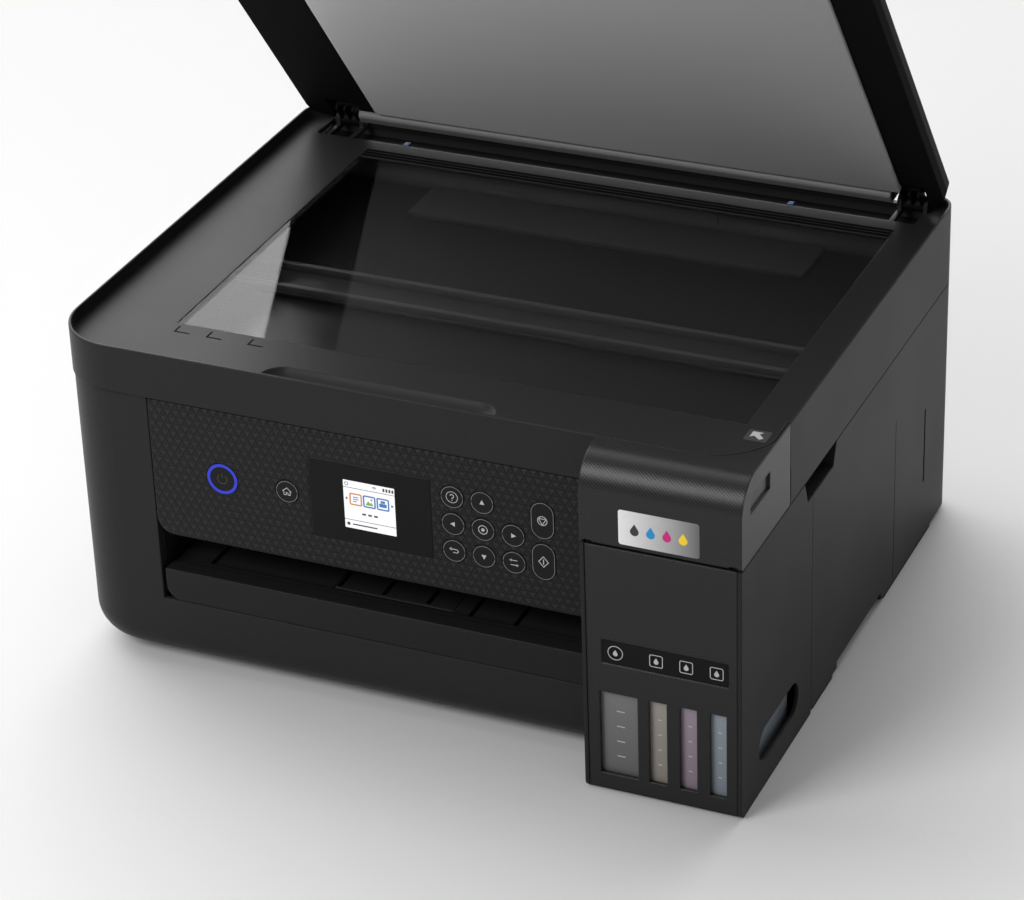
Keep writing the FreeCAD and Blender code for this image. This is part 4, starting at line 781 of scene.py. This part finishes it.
SIGNS = {
    "help": sign_help, "up": sign_triangle(90), "left": sign_triangle(180), "right": sign_triangle(0),
    "down": sign_triangle(270), "enter": sign_enter, "back": sign_back, "swap": sign_swap,
    "home": sign_home, "stop": sign_stop, "start": sign_start,
}


def key_print(key):
    """The thin outline and the sign on one key."""
    middle, half_x, half_z = front_middle("button_" + key)
    width = bpy.context.scene.printer_details.outline / MM
    drawing = Drawing(middle)
    inset = 0.5
    radius = half_x - inset
    drawing.line(rounded(0, 0, radius, half_z - inset, radius - 0.001), width, True, GROUND)
    SIGNS[key](drawing)
    piece = drawing.piece("print_" + key, [known(print_soft), known(print_bright)])
    settle(piece, "key_" + key)


def power_ring_glow():
    return lit("power_ring_glow", tuple(settings().ring), 0.75, (0.004, 0.004, 0.01))


def power_ring():
    """The lit ring and the dim power sign inside it."""
    middle, half, _ = front_middle("button_power")
    ring_inset, ring_width, sign_width = 0.85, 1.6, 0.4
    drawing = Drawing(middle)
    drawing.line(circle(0, 0, half - ring_inset, 64), ring_width, True, GROUND)
    drawing.line(arc(0, 0, 2.6, 125, 415, 25), sign_width, paint=SIGN)
    drawing.line([(0, 1.0), (0, 3.2)], sign_width, paint=SIGN)
    piece = drawing.piece("power_ring", [known(power_ring_glow), known(print_faint)])
    settle(piece, "key_power")


def display_white():
    return lit("display_white", (0.95, 0.96, 1.0), 0.8, (0.3, 0.3, 0.3))


def display_ink():
    return lit("display_ink", (0.05, 0.05, 0.06), 0.6)


def display_blue():
    return lit("display_blue", (0.06, 0.22, 0.62), 0.8)


def display_orange():
    return lit("display_orange", (0.85, 0.32, 0.06), 0.8)


def display_green():
    return lit("display_green", (0.25, 0.55, 0.08), 0.8)


DISPLAY_PAINTS = (display_white, display_ink, display_blue, display_orange, display_green)
WHITE, INK, BLUE, ORANGE, GREEN = range(len(DISPLAY_PAINTS))


def display_page(drawing):
    """The lit page with a line under its head, one over its foot and an arrow at each side."""
    drawing.patch(rounded(0, 0, 13.75, 13.35, 0.3), WHITE)
    drawing.rise()
    for level in (9.4, -8.6):
        drawing.line([(-13.7, level), (13.7, level)], 0.28, paint=INK)
    for side in (-1, 1):
        drawing.patch([(side * 13.0, 3.2), (side * 11.8, 4.1), (side * 11.8, 2.3)], INK)


def display_menu(drawing):
    """Three framed pictures (a page, hills with a sun, a machine) over three short bars."""
    pitch, level = 7.3, 3.2
    for column, paint in ((-1, ORANGE), (0, BLUE), (1, BLUE)):
        drawing.line(rounded(column * pitch, level, 3.0, 3.0, 0.6), 0.8, True, paint)
    for line_level, end in ((4.4, -5.8), (3.2, -5.8), (2.0, -6.8)):
        drawing.line([(-8.8, line_level), (end, line_level)], 0.5, paint=BLUE)
    drawing.patch([(-2.2, 1.2), (-0.6, 3.6), (0.5, 2.4), (1.2, 3.2), (2.2, 1.2)], GREEN)
    drawing.patch(circle(1.2, 4.5, 0.6, 14), ORANGE)
    drawing.patch(rounded(pitch, 2.6, 2.0, 1.0, 0.3), BLUE)
    drawing.patch(rounded(pitch, 4.5, 1.2, 0.7, 0.1), BLUE)
    for x in (-3.2, 0, 3.2):
        drawing.line([(x - 1.0, -4.4), (x + 1.0, -4.4)], 1.0, paint=INK)


def display_status(drawing):
    """Signs at the head of the page, and a dot and a bar at its foot."""
    head, foot = 11.4, -11.0
    drawing.line(circle(-11.9, head, 0.9, 18), 0.3, True, INK)
    for radius in (0.8, 1.5):
        drawing.line(arc(3.0, 10.5, radius, 45, 135, 9), 0.4, paint=BLUE)
    for x in (8.0, 9.6, 11.2, 12.8):
        drawing.patch(rounded(x, head, 0.5, 0.9, 0.1), INK)
    drawing.patch(circle(-11.8, foot, 0.9, 18), INK)
    drawing.line([(-9.6, foot), (3.6, foot)], 0.7, paint=INK)


def display_picture():
    """The lit display: a menu of three plain pictures between two arrows."""
    middle = front_middle("display_window")[0]
    shift = -0.45 * MM
    drawing = Drawing(middle + Vector((shift, 0, shift)))
    display_page(drawing)
    display_menu(drawing)
    display_status(drawing)
    piece = drawing.piece("display_picture", [known(paint) for paint in DISPLAY_PAINTS])
    settle(piece, "panel")


def tank_label():
    """The glossy strip over the ink windows with a drop for each ink."""
    label_x, label_z, sunk = 149, 79.75, 0.5
    half_width, half_height = 31.8, 6.5
    black_x, *colour_places = (-25.1, -4.5, 10.6, 25.8)
    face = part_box("tank_front_plate")[0].y + sunk * MM
    drawing = Drawing((label_x * MM, face, label_z * MM))
    drawing.patch(rounded(0, 0, half_width, half_height, 1.2), GROUND)
    drawing.rise()
    drawing.line(circle(black_x, -0.1, 3.7), 0.4, True, SIGN)
    for x in colour_places:
        drawing.line(rounded(x, -0.1, 3.2, 3.2, 0.9), 0.4, True, SIGN)
    for x in (black_x, *colour_places):
        drawing.patch(drop(x, -0.2, 1.7), SIGN)
    piece = drawing.piece("tank_label", [known(gloss_black), known(print_bright)])
    settle(piece, "chassis")


def badge():
    """A bare silver plate on the tank cover with one drop for each ink."""
    half_height, plate, first_drop, drop_pitch = 9.2, 2 * PAINT, -12, 8
    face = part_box("tank_cover")[0].y
    drawing = Drawing((BADGE_X * MM, face, BADGE_Z * MM))
    drawing.patch(rounded(0, 0, BADGE_HALF_WIDTH, half_height, 1.4), GROUND, plate)
    drawing.rise(plate)
    tints = {
        "dot_black": (0.02, 0.02, 0.022), "dot_cyan": (0.0, 0.25, 0.55),
        "dot_magenta": (0.55, 0.0, 0.18), "dot_yellow": (0.85, 0.6, 0.01),
    }
    for index in range(len(tints)):
        drawing.patch(drop(first_drop + drop_pitch * index, -0.6, 3.0), index + 1)
    paints = [printed(name, colour, 0.35) for name, colour in tints.items()]
    piece = drawing.piece("badge", [known(badge_silver), *paints])
    settle(piece, "tank_cover")


def deck_print():
    """Corner mark and size ticks for laying a document on the glass."""
    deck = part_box("scanner_glass")[1].z + GLASS_DROP * MM
    front, corner_x = -112, 173
    tick_width, tick_depth, line_width = 8, 6, 0.9
    ticks = Drawing((0, 0, deck), up=(0, 1, 0))
    for x in (-135, -117, -94):
        ticks.line([(x, front + tick_depth), (x, front), (x + tick_width, front)], line_width)
    piece = ticks.piece("deck_ticks", [known(dark_print_and_shade)])
    settle(piece, "scanner")
    mark = Drawing((corner_x * MM, front * MM, deck), up=(0, 1, 0))
    bright, faint = 0, 1
    arrow = [(-3.6, 3.2), (-3.6, -2.2), (-1.9, -0.5), (1.6, -3.6), (3.2, -1.9), (0.1, 1.4), (1.8, 3.2)]
    mark.patch(rounded(-0.2, -0.2, 5.6, 5.2, 0.8), faint)
    mark.rise()
    mark.patch(arrow, bright)
    piece = mark.piece("corner_mark", [known(print_bright), known(print_faint)])
    settle(piece, "scanner")


def slot_shade_plate():
    """A thin dark plate under the slot in front of the lid's hinges, a sheet of painted shade."""
    back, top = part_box("scanner_bed")[1].yz
    half_width, half_depth, thickness = 172.5, 12.3, 1.0
    gap, below = 0.2, 5
    middle = (0, back - (half_depth + gap) * MM, top - below * MM)
    shade_plate = Drawing(middle, up=(0, 1, 0))
    shade_plate.patch(rounded(0, 0, half_width, half_depth, 1.0), GROUND, thickness * MM)
    settle(shade_plate.piece("slot_shade_plate", [known(inner_black)]), "scanner")


def row_tree():
    """A row of equal blocks from a start point, one step after another."""
    tree = bpy.data.node_groups.get("block_row")
    if tree:
        return tree
    tree = bpy.data.node_groups.new("block_row", "GeometryNodeTree")
    sockets = (
        ("Start", "NodeSocketVector"), ("Step", "NodeSocketVector"), ("Count", "NodeSocketInt"),
        ("Size", "NodeSocketVector"), ("Finish", "NodeSocketMaterial"),
    )
    for name, kind in sockets:
        tree.interface.new_socket(name, in_out="INPUT", socket_type=kind)
    tree.interface.new_socket("Row", in_out="OUTPUT", socket_type="NodeSocketGeometry")
    given = tree.nodes.new("NodeGroupInput").outputs
    line = tree.nodes.new("GeometryNodeMeshLine")
    block = tree.nodes.new("GeometryNodeMeshCube")
    copies = tree.nodes.new("GeometryNodeInstanceOnPoints")
    solid = tree.nodes.new("GeometryNodeRealizeInstances")
    painted = tree.nodes.new("GeometryNodeSetMaterial")
    result = tree.nodes.new("NodeGroupOutput")
    wires = (
        (given["Count"], line.inputs["Count"]), (given["Start"], line.inputs["Start Location"]),
        (given["Step"], line.inputs["Offset"]), (given["Size"], block.inputs["Size"]),
        (line.outputs[0], copies.inputs["Points"]), (block.outputs[0], copies.inputs["Instance"]),
        (copies.outputs[0], solid.inputs[0]), (solid.outputs[0], painted.inputs["Geometry"]),
        (given["Finish"], painted.inputs["Material"]), (painted.outputs[0], result.inputs[0]),
    )
    for source, target in wires:
        tree.links.new(source, target)
    return tree


def block_row(name, start, step, count, size, material):
    """A plain mesh of equal blocks, made by the row tree; lengths in millimetres."""
    tree = row_tree()
    made = add_object(name, bpy.data.meshes.new(name))
    modifier = made.modifiers.new("row", "NODES")
    modifier.node_group = tree
    values = {
        "Start": [part * MM for part in start], "Step": [part * MM for part in step],
        "Count": count, "Size": [part * MM for part in size], "Finish": material,
    }
    for item in tree.interface.items_tree:
        if item.in_out == "INPUT":
            modifier[item.identifier] = values[item.name]
    evaluated = made.evaluated_get(bpy.context.evaluated_depsgraph_get())
    mesh = bpy.data.meshes.new_from_object(evaluated)
    made.modifiers.clear()
    made.data = mesh
    return made


def wall_ribs():
    """Upright ribs on the wall at the left of the paper outlet."""
    count = bpy.context.scene.printer_details.rib_count
    front_rib, pitch, size = (-133.0, -143, 69), 3.1, (0.9, 1.1, 18)
    row = block_row("wall_ribs", front_rib, (0, pitch, 0), count, size, known(inner_black))
    settle(row, "chassis")


def level_ticks():
    """Level marks on the ink windows."""
    count = bpy.context.scene.printer_details.tick_count
    lowest, pitch, proud = 20, 8.5, 0.05
    wide, narrow, thickness, height = 4.0, 1.8, 0.15, 0.5
    for ink in INKS:
        low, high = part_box("ink_tank_" + ink)
        x = (low.x + high.x) / 2 / MM
        width = wide if ink == "black" else narrow
        start = (x, low.y / MM - proud, lowest)
        size = (width, thickness, height)
        row = block_row("level_ticks_" + ink, start, (0, 0, pitch), count, size, known(print_bright))
        settle(row, "chassis")


def belt_teeth():
    """Teeth on the inside of the carriage belt's upper run."""
    low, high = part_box("carriage_belt")
    left, below_top = -140, 1.4
    pitch, count, size = 2, 136, (0.9, 7.4, 0.6)
    start = (left, (low.y + high.y) / 2 / MM, high.z / MM - below_top)
    row = block_row("belt_teeth", start, (pitch, 0, 0), count, size, known(belt_black))
    settle(row, "chassis")


def deck_groove_shade():
    """Thin dark strips on the deck behind the glass: painted shade that makes them look like grooves."""
    low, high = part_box("scanner_glass")
    middle = (low.x + high.x) / 2 / MM
    behind_glass, width, pitch, count = 2.5, 2.3, 3.2, 3
    start = (middle, high.y / MM + behind_glass, high.z / MM + GLASS_DROP)
    size = ((high.x - low.x) / MM, width, LINE_HEIGHT)
    # Painted shade: dark strips where the deck's grooves would be shaded.
    row = block_row("deck_groove_shade", start, (0, pitch, 0), count, size, known(dark_print_and_shade))
    settle(row, "scanner")


def tray_lines():
    """Dark lines front to back on the tray's sunk floor and on its paper stop."""
    low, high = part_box("tray_stopper")
    width, pitch = 2.4, 24.3
    rows = (("stop_lines", "stopper", -43.0, 3, 14.0), ("tray_lines", "tray_outer", 29.9, 2, 23.0))
    for name, body, first, count, length in rows:
        start = (first, (low.y + high.y) / 2 / MM, high.z / MM)
        size = (width, length, LINE_HEIGHT)
        row = block_row(name, start, (pitch, 0, 0), count, size, known(dark_print_and_shade))
        settle(row, body)


def hinge_clips():
    """Two blue clips in the slot in front of the lid hinges."""
    left_clip, pitch, size = (-120, 129.5, 173), 223, (3.0, 4.0, 3.0)
    row = block_row("hinge_clips", left_clip, (pitch, 0, 0), 2, size, known(clip_blue))
    settle(row, "scanner")


def bar_ends():
    """Plugs in the ends of the lid's hinge rail; they stop just short of the hinge ears."""
    low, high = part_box("lid_bar")
    middle = (low + high) / 2 / MM
    inset, extra_span, plug = 0.1, 0.5, (1.4, 4.8, 4.8)
    start = (low.x / MM + inset, middle.y, middle.z)
    span = (high.x - low.x) / MM + extra_span
    row = block_row("bar_ends", start, (span, 0, 0), 2, plug, known(inner_black))
    settle(row, "lid")


class PrinterOperator(bpy.types.Operator):
    """Shared settings of the printer's operators."""

    bl_options = {"REGISTER", "UNDO"}


class PRINTER_OT_case(PrinterOperator):
    """Finish the outer case, the paper trays and the feet"""

    bl_idname = "printer.case"
    bl_label = "Case and trays"

    def execute(self, context):
        coat(known(case_black), "lower_case", "tank_housing", "rear_feed", "scanner_frame")
        coat(known(case_black), "paper_support", "feed_flap")
        coat(known(tray_black), "output_tray", "tray_extension", "tray_stopper")
        coat(known(foot_pad), "rubber_feet")
        return {"FINISHED"}


class PRINTER_OT_scanner(PrinterOperator):
    """Finish the glass, the bed and the image sensor, and put a dark plate of painted shade under the hinge
    slot
    """

    bl_idname = "printer.scanner"
    bl_label = "Scanner"

    def execute(self, context):
        coat(known(scanner_pane), "scanner_glass")
        coat(known(bed_black), "scanner_bed", "sensor_rail")
        coat(known(inner_black), "sensor_bar")
        # A dark plate stands in for the shade under the hinge slot.
        slot_shade_plate()
        return {"FINISHED"}


class PRINTER_OT_lid(PrinterOperator):
    """Finish the lid, its mat and its hinges"""

    bl_idname = "printer.lid"
    bl_label = "Lid"

    def execute(self, context):
        coat(known(lid_black), "lid_shell")
        coat(known(document_mat), "lid_mat")
        coat(known(bar_painted_light), "lid_bar")
        coat(known(inner_black), "lid_hinges")
        return {"FINISHED"}


class PRINTER_OT_panel(PrinterOperator):
    """Finish the control panel and its keys"""

    bl_idname = "printer.panel"
    bl_label = "Control panel"

    def execute(self, context):
        coat(known(lattice_black), "panel_front")
        coat(known(inner_black), "panel_housing")
        coat(known(gloss_black), "display_window")
        for key in ("power", *KEYS):
            coat(known(key_black), "button_" + key)
        return {"FINISHED"}


class PRINTER_OT_tanks(PrinterOperator):
    """Finish the ink tanks, their caps and their cover"""

    bl_idname = "printer.tanks"
    bl_label = "Ink tanks"

    def execute(self, context):
        coat(known(twill_black), "tank_front_plate", "tank_cover")
        tints, caps = tank_finishes(), cap_finishes()
        for ink in INKS:
            coat(tints[ink], "ink_tank_" + ink)
            coat(caps[ink], "tank_cap_" + ink)
        return {"FINISHED"}


class PRINTER_OT_mechanism(PrinterOperator):
    """Finish the print mechanism inside the case"""

    bl_idname = "printer.mechanism"
    bl_label = "Mechanism"

    def execute(self, context):
        coat(known(frame_grey), "mechanism_base", "idler_pulley", "edge_guide_left", "edge_guide_right")
        coat(known(inner_black), "platen", "print_carriage", "power_supply")
        coat(known(roller_grip), "feed_roller", "eject_roller")
        coat(known(belt_black), "roller_belt", "carriage_belt")
        coat(known(plated_steel), "carriage_rail", "carriage_motor", "drive_pulley", "print_head")
        coat(known(circuit_green), "main_board")
        return {"FINISHED"}


class PRINTER_OT_key_print(PrinterOperator):
    """Print an outline and a sign on every key"""

    bl_idname = "printer.key_print"
    bl_label = "Key signs"

    def execute(self, context):
        for key in KEYS:
            key_print(key)
        return {"FINISHED"}


class PRINTER_OT_lights(PrinterOperator):
    """Add the lit ring of the power key and the picture on the display"""

    bl_idname = "printer.lights"
    bl_label = "Ring and display"

    def execute(self, context):
        power_ring()
        display_picture()
        return {"FINISHED"}


class PRINTER_OT_labels(PrinterOperator):
    """Add the ink label, the bare badge and the marks on the deck"""

    bl_idname = "printer.labels"
    bl_label = "Labels and marks"

    def execute(self, context):
        tank_label()
        badge()
        deck_print()
        return {"FINISHED"}


class PRINTER_OT_rows(PrinterOperator):
    """Add the small pieces that repeat: ribs, ticks, teeth, clips, lines and plugs"""

    bl_idname = "printer.rows"
    bl_label = "Repeated pieces"

    def execute(self, context):
        wall_ribs()
        level_ticks()
        belt_teeth()
        hinge_clips()
        deck_groove_shade()
        bar_ends()
        tray_lines()
        return {"FINISHED"}


def camera():
    """The camera at the viewing angle of the picture."""
    studio = bpy.context.scene.printer_studio
    across, rise = studio.azimuth, studio.elevation
    back = Vector((
        math.sin(across) * math.cos(rise), -math.cos(across) * math.cos(rise), math.sin(rise),
    ))
    right = (-back).cross(Vector((0, 0, 1))).normalized()
    up = right.cross(-back)
    leaning_right = right * math.cos(studio.roll) + up * math.sin(studio.roll)
    leaning_up = up * math.cos(studio.roll) - right * math.sin(studio.roll)
    data = bpy.data.cameras.new("camera")
    data.lens = studio.lens
    data.sensor_width = 36
    data.clip_end = 50
    made = bpy.data.objects.new("camera", data)
    bpy.context.scene.collection.objects.link(made)
    turn = Matrix((leaning_right, leaning_up, back)).transposed()
    made.matrix_world = Matrix.Translation(Vector(studio.camera_place)) @ turn.to_4x4()
    bpy.context.scene.camera = made


def floor_pale():
    """Seamless paper with a hardly visible tooth."""
    finish = Finish("floor_pale")
    tooth = finish.noise(0.02, 3)
    colour = tuple(bpy.context.scene.printer_studio.floor)
    tone = finish.between(tooth, shade(colour, 0.99), shade(colour, 1.01))
    return finish.close(tone, 0.75 + 0.1 * tooth)


def floor():
    """A wide square just under the feet."""
    half = 6.0
    level = -0.0002
    mesh = bpy.data.meshes.new("floor")
    outline = [(-half, -half, level), (half, -half, level), (half, half, level), (-half, half, level)]
    mesh.from_pydata(outline, [], [(0, 1, 2, 3)])
    add_object("floor", mesh, [known(floor_pale)])


def soft_light(name, place, target, size, power):
    """A large square lamp that looks at a point."""
    data = bpy.data.lights.new(name, "AREA")
    data.shape = "SQUARE"
    data.size = size
    data.energy = power
    made = bpy.data.objects.new(name, data)
    made.visible_transmission = False
    bpy.context.scene.collection.objects.link(made)
    aim = Vector(target) - Vector(place)
    made.matrix_world = Matrix.Translation(place) @ aim.to_track_quat("-Z", "Y").to_matrix().to_4x4()


def sky():
    """Studio surroundings, brightest behind and above the printer and to its left."""
    bright_side = (-0.45, 0.75, 0.45)
    limits = {"From Min": 0.50, "From Max": 0.97, "To Min": 0.30, "To Max": 4.3}
    world = bpy.data.worlds.new("studio")
    world.use_nodes = True
    tree = world.node_tree
    coords = tree.nodes.new("ShaderNodeTexCoord")
    toward = tree.nodes.new("ShaderNodeVectorMath")
    toward.operation = "DOT_PRODUCT"
    toward.inputs[1].default_value = bright_side
    spread = tree.nodes.new("ShaderNodeMapRange")
    for name, value in limits.items():
        spread.inputs[name].default_value = value
    tree.links.new(coords.outputs["Generated"], toward.inputs[0])
    tree.links.new(toward.outputs["Value"], spread.inputs["Value"])
    tree.links.new(spread.outputs[0], tree.nodes["Background"].inputs["Strength"])
    tree.nodes["Background"].inputs["Color"].default_value = (1.0, 1.0, 1.0, 1)
    bpy.context.scene.world = world


class PRINTER_OT_studio(PrinterOperator):
    """Add the camera, the pale floor and the soft light"""

    bl_idname = "printer.studio"
    bl_label = "Studio"

    def execute(self, context):
        camera()
        floor()
        target = (0, 0, 0.1)
        soft_light("key", (-1.7, 0.3, 1.9), target, size=1.4, power=12)
        soft_light("fill", (-0.70, -1.45, 1.40), target, size=0.9, power=25)
        sky()
        context.scene.view_settings.view_transform = "Standard"
        return {"FINISHED"}


class PRINTER_PT_sidebar(bpy.types.Panel):
    """Sizes, colours and steps of the printer"""

    bl_idname = "PRINTER_PT_sidebar"
    bl_label = "Printer"
    bl_space_type = "VIEW_3D"
    bl_region_type = "UI"
    bl_category = "Printer"

    def draw(self, context):
        for group in ("printer_finishes", "printer_details", "printer_studio"):
            values = getattr(context.scene, group)
            for name in values.__annotations__:
                self.layout.prop(values, name)
        for step in STEPS:
            self.layout.operator(step.bl_idname)


STEPS = (
    PRINTER_OT_case, PRINTER_OT_scanner, PRINTER_OT_lid, PRINTER_OT_panel, PRINTER_OT_tanks,
    PRINTER_OT_mechanism, PRINTER_OT_key_print, PRINTER_OT_lights, PRINTER_OT_labels, PRINTER_OT_rows,
    PRINTER_OT_studio,
)
GROUPS = {
    "printer_finishes": PrinterFinishes, "printer_details": PrinterDetails, "printer_studio": PrinterStudio,
}


def register():
    for group in (*GROUPS.values(), *STEPS, PRINTER_PT_sidebar):
        bpy.utils.register_class(group)
    for name, group in GROUPS.items():
        setattr(bpy.types.Scene, name, PointerProperty(type=group))


def unregister():
    for name in GROUPS:
        delattr(bpy.types.Scene, name)
    for group in reversed((*GROUPS.values(), *STEPS, PRINTER_PT_sidebar)):
        bpy.utils.unregister_class(group)


def main():
    register()
    bpy.ops.printer.case()
    bpy.ops.printer.scanner()
    bpy.ops.printer.lid()
    bpy.ops.printer.panel()
    bpy.ops.printer.tanks()
    bpy.ops.printer.mechanism()
    bpy.ops.printer.key_print()
    bpy.ops.printer.lights()
    bpy.ops.printer.labels()
    bpy.ops.printer.rows()
    bpy.ops.printer.studio()


if __name__ == "__main__":
    main()
